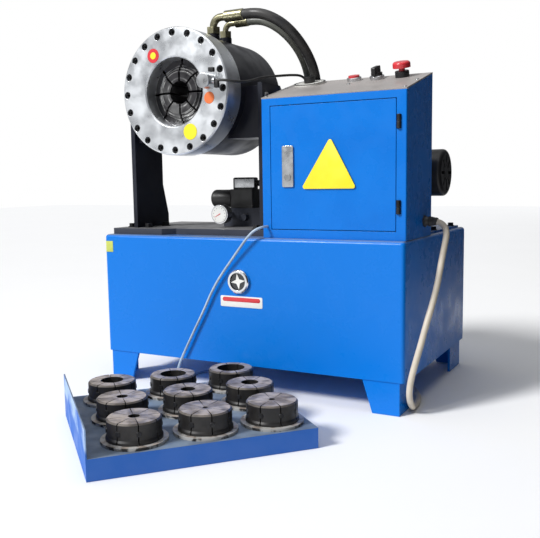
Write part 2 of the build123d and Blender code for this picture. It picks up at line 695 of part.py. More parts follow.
def make_door():
    """Folded door pan with the flush handle plate of its lock."""
    x0 = CAB_X0 + DOOR_SIDE + DOOR_GAP
    x1 = CAB_X1 - DOOR_SIDE - DOOR_GAP
    z0 = DOOR_Z0 + DOOR_GAP
    z1 = DOOR_Z1 - DOOR_GAP
    pan = block(x0, x1, CAB_Y0, CAB_Y0 + DOOR_T, z0, z1)
    pan = fillet(pan.edges().filter_by(Axis.Y), 2)
    w = CAB_WALL
    pan -= block(x0 + w, x1 - w, CAB_Y0 + w, CAB_Y0 + DOOR_T + 1, z0 + w, z1 - w)
    pan -= round_y(LATCH_X, CAB_Y0 - 1, LATCH_Z - LATCH_H * 0.28, 8.3, w + 2)
    plate = block(LATCH_X - LATCH_W / 2, LATCH_X + LATCH_W / 2, CAB_Y0 - 3, CAB_Y0,
                  LATCH_Z - LATCH_H / 2, LATCH_Z + LATCH_H / 2)
    plate = fillet(plate.edges().filter_by(Axis.Y), 5)
    plate -= round_y(LATCH_X, CAB_Y0 - 5, LATCH_Z - LATCH_H * 0.28, 8.3, 8)
    return [pan, plate]


def make_latch():
    """Lock barrel with its cam behind the door, hanging down when unlocked."""
    z = LATCH_Z - LATCH_H * 0.28
    barrel = round_y(LATCH_X, CAB_Y0 - 5, z, 8.0, DOOR_T + 9)
    cam_y = CAB_Y0 + DOOR_T + 2
    cam = block(LATCH_X - 8, LATCH_X + 8, cam_y, cam_y + 3, z - 62, z + 9)
    return barrel + cam


def on_panel(x, up):
    """Location on the panel's outer face, up the slope, with Z along its normal."""
    return Pos(x, CAB_Y0, CAB_FRONT_TOP) * Rot(PANEL_SLOPE, 0, 0) * Pos(0, up, 0)


def make_control_panel():
    """The sloping top plate with its control holes and short folded front edge."""
    slope_l = hypot(CAB_Y1 - CAB_Y0, CAB_BACK_TOP - CAB_FRONT_TOP)
    width = CAB_X1 - CAB_X0
    plate = Pos(width / 2, slope_l / 2, -PANEL_T / 2) * Box(width, slope_l, PANEL_T)
    plate = Pos(CAB_X0, CAB_Y0, CAB_FRONT_TOP) * Rot(PANEL_SLOPE, 0, 0) * plate
    plate &= block(CAB_X0, CAB_X1, CAB_Y0, CAB_Y1, TANK_TOP, CAB_BACK_TOP)
    for x in (DIAL_X, BUTTON_X, SELECTOR_X, STOP_X):
        plate -= on_panel(x, CONTROL_SLOPE_UP) * Cylinder(CONTROL_HOLE_R, 4 * PANEL_T)
    return plate


def panel_round(x, z0, r, h):
    return on_panel(x, CONTROL_SLOPE_UP) * Pos(0, 0, z0 + h / 2) * Cylinder(r, h)


def make_bezels():
    """Fixed collars of the four controls, each with its block below the panel."""
    dial = panel_round(DIAL_X, 0, DIAL_R, DIAL_T) + panel_round(DIAL_X, -30, 10, 30)
    parts = [dial - panel_round(DIAL_X, -31, SPINDLE_R + RUN_FIT, 40)]
    for x, r, h in ((BUTTON_X, BEZEL_R, COLLAR_H), (SELECTOR_X, BEZEL_R, COLLAR_H),
                    (STOP_X, STOP_COLLAR_R, STOP_COLLAR_H)):
        collar = panel_round(x, 0, r, h)
        collar = chamfer(collar.edges().group_by(Axis.Z)[-1], 1.2)
        collar += panel_round(x, -30, 10, 30)
        if x == BUTTON_X:
            collar -= panel_round(x, CAP_SEAT, CAP_R + SLIDE_CLEAR, h)
        parts.append(collar - panel_round(x, -14, PLUNGER_R + RUN_FIT, h + 15))
    return parts


def make_dial():
    """Size-setting pointer knob on its spindle."""
    z0 = DIAL_T + SLIDE_CLEAR
    knob = panel_round(DIAL_X, z0, 13, 14)
    grip = on_panel(DIAL_X, CONTROL_SLOPE_UP) * Pos(0, 3, z0 + 7) * Box(5, 30, 14)
    return knob + grip + panel_round(DIAL_X, -26, SPINDLE_R, z0 + 28)


def make_push_button():
    """Cap that sinks into its collar, with its plunger."""
    z0 = CAP_SEAT + SLIDE_CLEAR + BUTTON_TRAVEL
    return panel_round(BUTTON_X, z0, CAP_R, CAP_H) + panel_round(BUTTON_X, -8, PLUNGER_R, z0 + 9)


def make_selector():
    z0 = COLLAR_H + SLIDE_CLEAR
    base = panel_round(SELECTOR_X, z0, CAP_R, 6)
    lever = on_panel(SELECTOR_X, CONTROL_SLOPE_UP) * Pos(0, -4, z0 + 12) * Box(9, 40, 16)
    lever = fillet(lever.edges().filter_by(Axis.X), 3)
    return base + lever + panel_round(SELECTOR_X, -8, PLUNGER_R, z0 + 9)


def make_stop():
    """Mushroom head and plunger of the emergency stop."""
    z0 = STOP_COLLAR_H + STOP_TRAVEL + 5 * SLIDE_CLEAR
    head = panel_round(STOP_X, z0, STOP_R, STOP_HEAD_H)
    head = fillet(head.edges().group_by(Axis.Z)[-1], 6)
    return head + panel_round(STOP_X, -7, PLUNGER_R, z0 + 9)


def make_control_gear():
    """Mounting plate on the cabinet's back with contactors, transformer and terminals."""
    y1 = CAB_Y1 - CAB_WALL
    plate = block(CAB_X0 + 25, CAB_X1 - 25, y1 - 12, y1, TANK_TOP + 25, CAB_FRONT_TOP - 60)
    face = y1 - 12
    gear = [plate]
    for i in range(3):
        x = CAB_X0 + 60 + 62 * i
        gear.append(block(x, x + 45, face - 78, face, 560, 635))
    gear.append(block(CAB_X1 - 125, CAB_X1 - 50, face - 85, face, 545, 620))
    gear.append(block(CAB_X0 + 50, CAB_X1 - 50, face - 40, face, 440, 470))
    return gear


def make_gland():
    """Hexagonal body on the cabinet's side with its tapering clamp nut."""
    face = Pos(CAB_X1, GLAND_Y, GLAND_Z) * Rot(0, 90, 0)
    nut = face * extrude(RegularPolygon(13, 6), GLAND_NUT_H)
    cone = face * Pos(0, 0, GLAND_NUT_H) * extrude(Circle(11), GLAND_L - GLAND_NUT_H, taper=12)
    return nut + cone


# ---------------------------------------------------------------- cords and hoses
def cord(name, points, diameter):
    """A tube of straight runs and tangent arcs, each arc as large as its runs allow."""
    pts = [Vector(*p) for p in points]
    radii = []
    for a, b, c in zip(pts, pts[1:], pts[2:]):
        turn = (b - a).get_angle(c - b)
        run = min((b - a).length, (c - b).length)
        radii.append(0.45 * run / tan(radians(turn) / 2))
    path = FilletPolyline(*pts, radius=radii)
    tube = sweep(Plane(origin=path @ 0, z_dir=path % 0) * Circle(diameter / 2), path)
    share = tube.volume / (pi * diameter ** 2 / 4 * path.length)
    runs = [(b - a).length for a, b in zip(pts, pts[1:])]
    print(f"{name}: length {path.length:.0f}, least radius {min(radii):.0f} "
          f"({min(radii) / diameter:.1f} d), volume share {share:.4f}, runs {min(runs):.0f}-{max(runs):.0f}")
    return tube


def close_hose_points():
    x = PORT_X + CLOSE_RUN - 2 + CLOSE_FERRULE
    z = close_boss_top() + CLOSE_RISE
    end = FOOT_TOP + BLOCK_H + PORT_NUT_H + PORT_FERRULE
    return [(x, CLOSE_PORT_Y, z), (x + 32, CLOSE_PORT_Y, z), (x + 66, 92.5, z - 10), (x + 96, 106, z - 29),
            (x + 116, 129, z - 55), (x + 127, 161, z - 86), (x + 129, 196, z - 118), (x + 125, 226, z - 153),
            (x + 116, 243, z - 196), (x + 101, 250, z - 241), (x + 82, 253, z - 286), (x + 63, 255, z - 327),
            (CLOSE_BLOCK_X + 10, CLOSE_BLOCK_Y + 1, end + 63), (CLOSE_BLOCK_X + 3, CLOSE_BLOCK_Y, end + 41),
            (CLOSE_BLOCK_X, CLOSE_BLOCK_Y, end + 21), (CLOSE_BLOCK_X, CLOSE_BLOCK_Y, end)]


def open_hose_points():
    x = PORT_X + OPEN_RUN - 2 + OPEN_FERRULE
    z = open_boss_top() + OPEN_RISE
    end = FOOT_TOP + BLOCK_H + PORT_NUT_H + PORT_FERRULE
    return [(x, OPEN_PORT_Y, z), (x + 27, OPEN_PORT_Y, z), (x + 54, 147, z - 9), (x + 78, 158, z - 25),
            (x + 96, 176, z - 46), (x + 107, 201, z - 71), (x + 111, 229, z - 100), (x + 109, 255, z - 134),
            (x + 101, 271, z - 174), (x + 89, 280, z - 217), (x + 74, 284, z - 261), (x + 58, 286, z - 303),
            (x + 43, 287, z - 340), (OPEN_BLOCK_X + 9, OPEN_BLOCK_Y + 1, end + 47),
            (OPEN_BLOCK_X, OPEN_BLOCK_Y, end + 23), (OPEN_BLOCK_X, OPEN_BLOCK_Y, end)]


def probe_cord_points():
    x = PROBE_X + PROBE_R + 6
    y = RING_Y0 - PROBE_L / 2
    z = PROBE_Z
    return [(x, y, z), (x + 18, y, z), (x + 37, y + 11, z - 3), (x + 52, y + 33, z - 4),
            (x + 60, y + 59, z + 1), (x + 64, y + 88, z + 9), (x + 67, y + 122, z + 16),
            (x + 70, y + 156, z + 21), (x + 76, y + 189, z + 26), (x + 84, y + 220, z + 30),
            (x + 92, CAB_Y1 - 3, z + 32), (x + 96, CAB_Y1 + 15, z + 26), (x + 96, CAB_Y1 + 28, z + 15),
            (x + 96, CAB_Y1 + 33, z - 1), (x + 96, CAB_Y1 + 29, z - 17), (x + 96, CAB_Y1 + 17, z - 28),
            (x + 96, CAB_Y1, z - 28)]


def valve_cord_points():
    x = VALVE_X1 + 6
    z = FOOT_TOP + BLOCK_H + VALVE_H + 15
    return [(x, VALVE_Y, z), (x + 22, VALVE_Y, z), (x + 49, VALVE_Y + 6, z + 1), (x + 78, VALVE_Y + 20, z),
            (x + 102, VALVE_Y + 39, z - 3), (x + 127, VALVE_Y + 57, z - 7), (x + 154, VALVE_Y + 71, z - 11),
            (x + 182, VALVE_Y + 78, z - 15), (x + 209, CAB_Y1 + 59, z - 18), (x + 230, CAB_Y1 + 47, z - 21),
            (x + 243, CAB_Y1 + 25, z - 22), (x + 243, CAB_Y1, z - 22)]


def mains_points():
    x = CAB_X1 + GLAND_L
    lie = MAINS_D / 2 + 0.4
    end_x = MAINS_COIL_X + MAINS_COIL_R
    return [(x, GLAND_Y, GLAND_Z), (x + 20, GLAND_Y, GLAND_Z), (x + 37, GLAND_Y - 6, GLAND_Z - 9),
            (x + 45, GLAND_Y - 18, GLAND_Z - 25), (x + 45, GLAND_Y - 34, GLAND_Z - 49),
            (x + 42, GLAND_Y - 49, GLAND_Z - 84), (x + 39, GLAND_Y - 64, GLAND_Z - 128),
            (x + 33, GLAND_Y - 83, GLAND_Z - 173), (x + 26, GLAND_Y - 101, GLAND_Z - 211),
            (x + 19, GLAND_Y - 118, GLAND_Z - 255), (x + 11, GLAND_Y - 132, GLAND_Z - 295),
            (x + 4, GLAND_Y - 140, GLAND_Z - 330), (x + 1, 7, 51), (x, 19.5, 29.5), (x - 2, 39.5, 14),
            (x - 6, 64, lie), (x - 8, 104, lie), (x - 20, 146, lie), (x - 46, 194, lie), (x - 80, 244, lie),
            (x - 111, 294, lie), (x - 129, 342, lie), (end_x, MAINS_COIL_Y - 30, lie),
            (end_x, MAINS_COIL_Y, lie)]


def pedal_points():
    x = CAB_X0 + 12
    z = TANK_TOP + 26
    lie = PEDAL_CORD_D / 2 + 0.4
    end_x = PEDAL_COIL_X - PEDAL_COIL_R
    return [(x, CAB_Y0, z), (x, 5, z), (x - 6, -8, z - 2), (x - 18, -15, z - 9), (x - 34, -15, z - 24),
            (x - 54, -13, z - 47), (x - 80, -10, z - 78), (x - 109, -9, z - 113), (x - 136, -9, z - 153),
            (x - 160, -9, z - 201), (x - 189, -9, z - 252), (x - 218, -10, z - 306), (x - 236, -9, 63),
            (x - 247, -5, 36), (x - 257, 6, 15), (x - 264, 26, lie), (x - 270, 56, lie), (x - 270, 94, lie),
            (x - 262, 138, lie), (x - 246, 182, lie), (x - 226, 226, lie), (x - 214, 270, lie),
            (end_x, PEDAL_COIL_Y - 28, lie), (end_x, PEDAL_COIL_Y, lie)]


def make_coil(x, y, mid_r, build, gap):
    """The outer shape of a tied coil lying on the floor."""
    outer = round_z(x, y, gap, mid_r + build / 2, build)
    return outer - round_z(x, y, gap - 1, mid_r - build / 2, build + 2)


def make_mains_plug():
    """A plug lying beside its coil, body along X with its two pins."""
    x = MAINS_COIL_X - MAINS_COIL_R - MAINS_COIL_BUILD / 2 - PLUG_TAIL - PLUG_L
    y = MAINS_COIL_Y
    body = block(x, x + PLUG_L, y - 20, y + 20, 0, 38)
    body = fillet(body.edges().filter_by(Axis.X), 9)
    tail = round_x(x + PLUG_L, y, 14, 10, PLUG_TAIL)
    pins = round_x(x - 19, y - 9.5, 19, 2.4, 20) + round_x(x - 19, y + 9.5, 19, 2.4, 20)
    return body + tail + pins


def make_foot_switch():
    """Cast base of the foot switch: side guards, treadle pocket and cord inlet."""
    base = block(SWITCH_X, SWITCH_X + SWITCH_L, SWITCH_Y - SWITCH_W / 2, SWITCH_Y + SWITCH_W / 2, 0, SWITCH_H)
    base = fillet(vertical_edges(base), 10)
    half = SWITCH_W / 2 - 9
    pocket = block(SWITCH_X + PEDAL_PIN_IN - 8, SWITCH_X + SWITCH_L + 10, SWITCH_Y - half, SWITCH_Y + half,
                   12, SWITCH_H + 10)
    coil_edge = PEDAL_COIL_X + PEDAL_COIL_R + PEDAL_COIL_BUILD / 2
    inlet = round_x(coil_edge, SWITCH_Y, 10, 6, SWITCH_X - coil_edge + 2)
    return base - pocket + inlet


def make_foot_pedal():
    """The treadle on its pin, resting slightly raised."""
    half = SWITCH_W / 2 - 9
    pivot = Pos(SWITCH_X + PEDAL_PIN_IN, SWITCH_Y, PEDAL_PIN_Z)
    pin = pivot * Rot(90, 0, 0) * Cylinder(4, 2 * half - 2 * SLIDE_CLEAR)
    plate = pivot * Rot(0, -6, 0) * Pos(44, 0, 3) * Box(96, 2 * half - 4, 5)
    return pin + plate


# ---------------------------------------------------------------- die tray and die sets
def tray_place(u, v, z=0.0):
    x, y = tray_point(u, v)
    return Pos(x, y, z) * Rot(0, 0, TRAY_TURN)


def make_tray():
    """A folded sheet tray lying bottom up: flat deck, three low lips and one high side."""
    width = TRAY_U1 - TRAY_U0
    depth = TRAY_V1 - TRAY_V0
    deck = Pos(width / 2, depth / 2, TRAY_H / 2) * Box(width, depth, TRAY_H)
    deck -= Pos(width / 2, depth / 2, (TRAY_H - TRAY_T) / 2) * Box(
        width - 2 * TRAY_T, depth - 2 * TRAY_T, TRAY_H - TRAY_T)
    side = Pos(TRAY_T / 2, depth / 2, TRAY_SIDE_H / 2) * Box(TRAY_T, depth, TRAY_SIDE_H)
    return tray_place(TRAY_U0, TRAY_V0) * (deck + side)


def die_set(u, v, bore_r):
    """Eight loose segments standing in their holder ring."""
    top = TRAY_H + SET_H
    foot_top = TRAY_H + SET_FOOT_T
    ring = Pos(0, 0, TRAY_H + SET_FOOT_T / 2) * Cylinder(SET_FOOT_R, SET_FOOT_T)
    ring -= Pos(0, 0, TRAY_H + SET_FOOT_T / 2) * Cylinder(max(bore_r, 12) + 4, SET_FOOT_T * 2)
    profile = make_face(Polyline((bore_r, foot_top), (SET_R + 2, foot_top), (SET_R + 2, foot_top + 5),
                                 (SET_R, foot_top + 9), (SET_R, top - 3), (SET_R - 3, top), (bore_r, top),
                                 close=True))
    arc = SECTOR - 2 * degrees(SET_GAP / 2 / SET_R)
    segment = revolve(Plane.XZ * profile, Axis.Z, revolution_arc=arc)
    parts = [ring]
    for i in range(JAWS):
        parts.append(Rot(0, 0, SECTOR * i) * segment)
    return [tray_place(u, v) * part for part in parts]


# Bore of each set as a share of its outer radius, by column and then front to back
SET_BORES = {"left": (0.21, 0.22, 0.475), "middle": (0.10, 0.30, 0.56), "right": (0.12, 0.36, 0.62)}


# ---------------------------------------------------------------- build and save
save("oil_tank", make_tank())
save("tank_cover", make_cover())
save("tank_legs", *[make_leg(right, back) for right in (False, True) for back in (False, True)])
save("sight_glass_ring", make_sight_ring())
save("sight_glass_lens", make_sight_lens())
save("breather_cap", make_breather())
save("deck_bolts", *make_deck_bolts())
save("head_foot_plate", make_foot_plate())
save("cheek_left", make_cheek(-1))
save("cheek_right", make_cheek(1))

save("front_ring", make_front_ring())
save("front_ring_bolts", *make_ring_bolts())
save("head_body", make_head_body())
save("rear_cap", *make_rear_cap())
save("wedge_ring", make_wedge_ring())
save("piston", make_piston())
jaw_parts = make_jaw()
for index in range(JAWS):
    turned = [head_turned(part, SECTOR * (index + 0.5)) for part in jaw_parts]
    save(f"jaw_{index + 1}", *turned)
save("position_probe", make_probe())
save("hose_fittings", *make_hose_fittings())

save("valve_block", *make_valve_block())
save("solenoid_valve", make_solenoid_valve())
save("valve_connector", make_valve_connector())
save("pressure_gauge", make_gauge())

save("motor_frame", make_motor())
save("fan_cowl", make_fan_cowl())
save("motor_rotor", make_rotor())
save("pump_unit", make_pump())

save("cabinet", make_cabinet())
save("cabinet_door", *make_door())
save("door_latch", make_latch())
save("control_panel", make_control_panel())
save("control_bezels", *make_bezels())
save("setting_dial", make_dial())
save("push_button", make_push_button())
save("selector_knob", make_selector())
save("stop_button", make_stop())
save("control_gear", *make_control_gear())
save("cable_gland", make_gland())

save("close_hose", cord("close_hose", close_hose_points(), CLOSE_HOSE_D))
save("open_hose", cord("open_hose", open_hose_points(), OPEN_HOSE_D))
save("probe_cord", cord("probe_cord", probe_cord_points(), PROBE_CORD_D))
save("valve_cord", cord("valve_cord", valve_cord_points(), VALVE_CORD_D))
save("mains_cable", cord("mains_cable", mains_points(), MAINS_D))
save("pedal_cord", cord("pedal_cord", pedal_points(), PEDAL_CORD_D))
save("mains_coil", make_coil(MAINS_COIL_X, MAINS_COIL_Y, MAINS_COIL_R, MAINS_COIL_BUILD, 0))
save("pedal_coil", make_coil(PEDAL_COIL_X, PEDAL_COIL_Y, PEDAL_COIL_R, PEDAL_COIL_BUILD, 0))
save("mains_plug", make_mains_plug())
save("foot_switch", make_foot_switch())
save("foot_pedal", make_foot_pedal())

save("die_tray", make_tray())
for column, name in enumerate(SET_BORES):
    pieces = []
    for row, share in enumerate(SET_BORES[name]):
        pieces += die_set(SET_PITCH_U * column, SET_PITCH_V * row, share * SET_R)
    save(f"die_sets_{name}", *pieces)
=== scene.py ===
"""Visual model of a hose crimping machine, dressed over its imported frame."""
import logging
import math
from dataclasses import dataclass
from enum import Enum
from typing import Iterable, Sequence

import bmesh
import bpy
from mathutils import Matrix, Vector


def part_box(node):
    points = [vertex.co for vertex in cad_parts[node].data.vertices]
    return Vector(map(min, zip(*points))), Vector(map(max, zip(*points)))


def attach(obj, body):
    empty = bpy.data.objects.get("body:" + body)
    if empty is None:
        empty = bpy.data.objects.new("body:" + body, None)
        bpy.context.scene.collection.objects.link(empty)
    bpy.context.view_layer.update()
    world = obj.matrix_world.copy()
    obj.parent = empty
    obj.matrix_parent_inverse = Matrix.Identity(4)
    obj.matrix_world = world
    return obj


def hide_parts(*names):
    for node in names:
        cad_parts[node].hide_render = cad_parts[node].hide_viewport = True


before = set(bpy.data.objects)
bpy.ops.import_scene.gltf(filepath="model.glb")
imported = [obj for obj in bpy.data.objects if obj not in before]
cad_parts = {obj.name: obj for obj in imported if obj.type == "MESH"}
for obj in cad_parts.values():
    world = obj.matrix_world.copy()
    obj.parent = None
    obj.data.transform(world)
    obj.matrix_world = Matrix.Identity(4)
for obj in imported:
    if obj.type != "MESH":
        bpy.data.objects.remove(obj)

LOG = logging.getLogger("crimper")
Point = tuple[float, float, float]
Colour = tuple[float, float, float]
Outline = Sequence[tuple[float, float]]
Socket = bpy.types.NodeSocket
Paint = bpy.types.Material
Item = bpy.types.Object
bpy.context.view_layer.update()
FRONT: Point = (0.0, -1.0, 0.0)
RIGHT: Point = (1.0, 0.0, 0.0)
UPWARD_SPAN = (0.6, 0.9)
COAT_ROUGHNESS = 0.12
SOFT_EDGE_SAMPLES = 4
DOOR_FRONT_Y = 0.0411
PLATE_T = 0.0006


def rgb(red: int, green: int, blue: int) -> Colour:
    """Linear colour of an 8-bit display colour."""
    def linear(value: int) -> float:
        share = value / 255
        return share / 12.92 if share <= 0.04045 else ((share + 0.055) / 1.055) ** 2.4
    return (linear(red), linear(green), linear(blue))


def centre_of(node: str) -> Vector:
    """Middle of a node's box at rest."""
    low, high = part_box(node)
    return (Vector(low) + Vector(high)) / 2


def new_object(name: str, data: bpy.types.ID) -> Item:
    """Make an object from its data and put it in the scene."""
    item = bpy.data.objects.new(name, data)
    bpy.context.scene.collection.objects.link(item)
    return item


# ------------------------------------------------------------------ finishes
class Mask(Enum):
    """Where a finish's second colour lies."""

    NONE = "none"
    UPWARD = "upward"


class Shop:
    """Node helpers for one material."""

    def __init__(self, name: str) -> None:
        """Start an empty principled material.

        Args:
            name: The material's name.
        """
        self.material = bpy.data.materials.new(name)
        self.material.use_nodes = True
        self.tree = self.material.node_tree
        self.tree.nodes.clear()
        self.output = self.add("ShaderNodeOutputMaterial")
        self.shader = self.add("ShaderNodeBsdfPrincipled")
        self.link(self.shader.outputs[0], self.output.inputs[0])
        self.coords = self.add("ShaderNodeTexCoord")

    def add(self, kind: str, **values: object) -> bpy.types.Node:
        """Add a node and set its plain inputs by name."""
        node = self.tree.nodes.new(kind)
        for key, value in values.items():
            node.inputs[key.replace("_", " ")].default_value = value
        return node

    def link(self, source: Socket, target: Socket) -> None:
        """Join two sockets."""
        self.tree.links.new(source, target)

    def place(self, scale: Point = (1, 1, 1), shift: Point = (0, 0, 0)) -> Socket:
        """Object coordinates, moved and stretched.

        Args:
            scale: Factor along each axis.
            shift: Point that becomes the pattern's centre.

        Returns:
            The vector socket.
        """
        moved = self.add("ShaderNodeVectorMath")
        moved.operation = "SUBTRACT"
        self.link(self.coords.outputs["Object"], moved.inputs[0])
        moved.inputs[1].default_value = shift
        stretched = self.add("ShaderNodeVectorMath")
        stretched.operation = "MULTIPLY"
        self.link(moved.outputs[0], stretched.inputs[0])
        stretched.inputs[1].default_value = scale
        return stretched.outputs[0]

    def noise(self, scale: float, detail: float = 4.0, stretch: Point = (1, 1, 1)) -> Socket:
        """Noise from 0 to 1 on the object's coordinates."""
        node = self.add("ShaderNodeTexNoise", Scale=scale, Detail=detail)
        self.link(self.place(stretch), node.inputs["Vector"])
        return node.outputs["Fac"]

    def math(self, operation: str, a: object, b: object = 0.0) -> Socket:
        """One arithmetic step on sockets or numbers."""
        node = self.add("ShaderNodeMath")
        node.operation = operation
        for value, socket in ((a, node.inputs[0]), (b, node.inputs[1])):
            if isinstance(value, Socket):
                self.link(value, socket)
            else:
                socket.default_value = value
        return node.outputs[0]

    def span(self, value: Socket, low: float, high: float,
             to_low: float = 0.0, to_high: float = 1.0) -> Socket:
        """Map a range smoothly onto another, clamped at its ends."""
        node = self.add("ShaderNodeMapRange", From_Min=low, From_Max=high, To_Min=to_low, To_Max=to_high)
        node.interpolation_type = "SMOOTHSTEP"
        self.link(value, node.inputs["Value"])
        return node.outputs[0]

    def mix(self, a: object, b: object, share: object) -> Socket:
        """Mix two colours, each a socket or a linear colour."""
        node = self.add("ShaderNodeMix")
        node.data_type = "RGBA"
        for value, socket in ((a, node.inputs[6]), (b, node.inputs[7])):
            if isinstance(value, Socket):
                self.link(value, socket)
            else:
                socket.default_value = (*value, 1.0)
        if isinstance(share, Socket):
            self.link(share, node.inputs[0])
        else:
            node.inputs[0].default_value = share
        return node.outputs[2]

    def split(self, vector: Socket) -> bpy.types.Node:
        """The X, Y and Z of a vector."""
        node = self.add("ShaderNodeSeparateXYZ")
        self.link(vector, node.inputs[0])
        return node

    def upward(self) -> Socket:
        """Share from 0 to 1 by which the surface faces up."""
        return self.span(self.split(self.coords.outputs["Normal"]).outputs[2], *UPWARD_SPAN)

    def radius_y(self, centre: Vector) -> Socket:
        """Distance from a line along Y through a centre."""
        around = self.place((1, 0, 1), tuple(centre))
        node = self.add("ShaderNodeVectorMath")
        node.operation = "LENGTH"
        self.link(around, node.inputs[0])
        return node.outputs["Value"]

    def relief(self, height: Socket, strength: float, depth: float, edge: float) -> None:
        """Bump over softened edges, into the shader's normal."""
        soft = self.add("ShaderNodeBevel", Radius=edge)
        soft.samples = SOFT_EDGE_SAMPLES
        bump = self.add("ShaderNodeBump", Strength=strength, Distance=depth)
        self.link(height, bump.inputs["Height"])
        self.link(soft.outputs[0], bump.inputs["Normal"])
        self.link(bump.outputs[0], self.shader.inputs["Normal"])


@dataclass(frozen=True)
class Finish:
    """A painted, machined or moulded surface with its wear."""

    name: str
    colour: Colour
    second: Colour
    roughness: float = 0.45
    metallic: float = 0.0
    coat: float = 0.0
    specular: float = 0.5
    second_share: float = 0.5
    mask: Mask = Mask.NONE
    blotch: float = 9.0
    grain: float = 380.0
    grain_depth: float = 0.00012
    grain_strength: float = 0.15
    stretch: Point = (1, 1, 1)
    edge: float = 0.0012

    def base(self, shop: Shop) -> Socket:
        """Base colour with blotches, and the second colour where the mask puts it."""
        blotch = shop.span(shop.noise(self.blotch, 6.0), 0.35, 0.7)
        if self.mask is Mask.NONE:
            share = shop.math("MULTIPLY", blotch, self.second_share)
        else:
            half = self.second_share / 2
            part = shop.math("ADD", shop.math("MULTIPLY", blotch, half), half)
            share = shop.math("MULTIPLY", shop.upward(), part)
        return shop.mix(self.colour, self.second, share)

    def height(self, shop: Shop) -> Socket:
        """Height of the fine grain."""
        return shop.noise(self.grain, 3.0, self.stretch)

    def build(self) -> Paint:
        """Make the material.

        Returns:
            The finished material.
        """
        shop = Shop(self.name)
        shop.link(self.base(shop), shop.shader.inputs["Base Color"])
        rough = shop.span(shop.noise(self.blotch * 2.3, 5.0), 0.3, 0.7, self.roughness * 0.75,
                          min(1.0, self.roughness * 1.3))
        shop.link(rough, shop.shader.inputs["Roughness"])
        shop.shader.inputs["Metallic"].default_value = self.metallic
        shop.shader.inputs["Specular IOR Level"].default_value = self.specular
        shop.shader.inputs["Coat Weight"].default_value = self.coat
        shop.shader.inputs["Coat Roughness"].default_value = COAT_ROUGHNESS
        shop.relief(self.height(shop), self.grain_strength, self.grain_depth, self.edge)
        return shop.material


@dataclass(frozen=True)
class TurnedSteel(Finish):
    """Face-turned steel: fine rings about the head's axis, oily smudges."""

    pitch: float = 0.0011

    def height(self, shop: Shop) -> Socket:
        """Concentric tool marks."""
        turns = shop.math("MULTIPLY", shop.radius_y(centre_of("front_ring")), 2 * math.pi / self.pitch)
        return shop.math("ADD", shop.math("MULTIPLY", shop.math("SINE", turns), 0.3), shop.noise(60.0))


@dataclass(frozen=True)
class WornDie(Finish):
    """Black-oxide jaw and die steel, rubbed bright on its front steps."""

    bands: tuple[float, ...] = (0.0335, 0.0495, 0.0560, 0.0625, 0.0800)
    rub_half: float = 0.0007
    rub_fade: float = 0.0024

    def base(self, shop: Shop) -> Socket:
        """Dark oxide with bright bands at the steps."""
        radius = shop.radius_y(centre_of("front_ring"))
        bright: object = 0.0
        for band in self.bands:
            gap = shop.math("ABSOLUTE", shop.math("SUBTRACT", radius, band))
            bright = shop.math("MAXIMUM", bright, shop.span(gap, self.rub_half, self.rub_fade, 1.0, 0.0))
        side = shop.split(shop.place((1, 1, 1), tuple(centre_of("front_ring"))))
        lower_left = shop.math("ADD", side.outputs[0], side.outputs[2])
        bias = shop.span(lower_left, -0.07, 0.05, 1.0, 0.25)
        worn = shop.span(shop.noise(34.0, 7.0), 0.38, 0.62)
        share = shop.math("MULTIPLY", shop.math("MULTIPLY", bright, bias), worn)
        haze = shop.math("MULTIPLY", shop.span(shop.noise(15.0), 0.5, 0.75), 0.25)
        return shop.mix(self.colour, self.second, shop.math("MAXIMUM", share, haze))


@dataclass(frozen=True)
class SetSteel(Finish):
    """Phosphated die sets: sandy tops, near-black sides that are dark oxide with painted shade between
    the sets, a bright foot ring.
    """

    foot_span: tuple[float, float] = (0.0456, 0.0462)

    def base(self, shop: Shop) -> Socket:
        """Colour by facing and by height."""
        # The sides mix dark oxide towards near-black; the darker share paints the shade that falls
        # between the sets.
        sides = shop.mix(self.colour, rgb(24, 23, 24), shop.span(shop.noise(22.0), 0.35, 0.6))
        top = shop.mix(self.second, rgb(120, 110, 102), shop.span(shop.noise(40.0, 6.0), 0.35, 0.65))
        both = shop.mix(sides, top, shop.upward())
        height = shop.split(shop.place()).outputs[2]
        foot = shop.span(height, *self.foot_span, 1.0, 0.0)
        worn = shop.math("MULTIPLY", foot, shop.span(shop.noise(60.0), 0.4, 0.55))
        return shop.mix(both, rgb(190, 190, 188), shop.math("MULTIPLY", worn, 0.75))


@dataclass(frozen=True)
class TrayPaint(Finish):
    """Blue tray paint under grey dust, with bare rubbed patches."""

    tall_span: tuple[float, float] = (0.046, 0.060)

    def base(self, shop: Shop) -> Socket:
        """Dust above, blue lips, pale rubbing on the tall side."""
        dust = shop.mix(self.second, rgb(88, 100, 118), shop.span(shop.noise(16.0, 7.0), 0.35, 0.7))
        height = shop.split(shop.place()).outputs[2]
        tall = shop.span(height, *self.tall_span)
        rubbed = shop.math("MULTIPLY", tall, shop.span(shop.noise(11.0, 6.0, (1, 1, 2.5)), 0.38, 0.6))
        paint = shop.mix(self.colour, rgb(150, 178, 215), rubbed)
        return shop.mix(paint, dust, shop.upward())


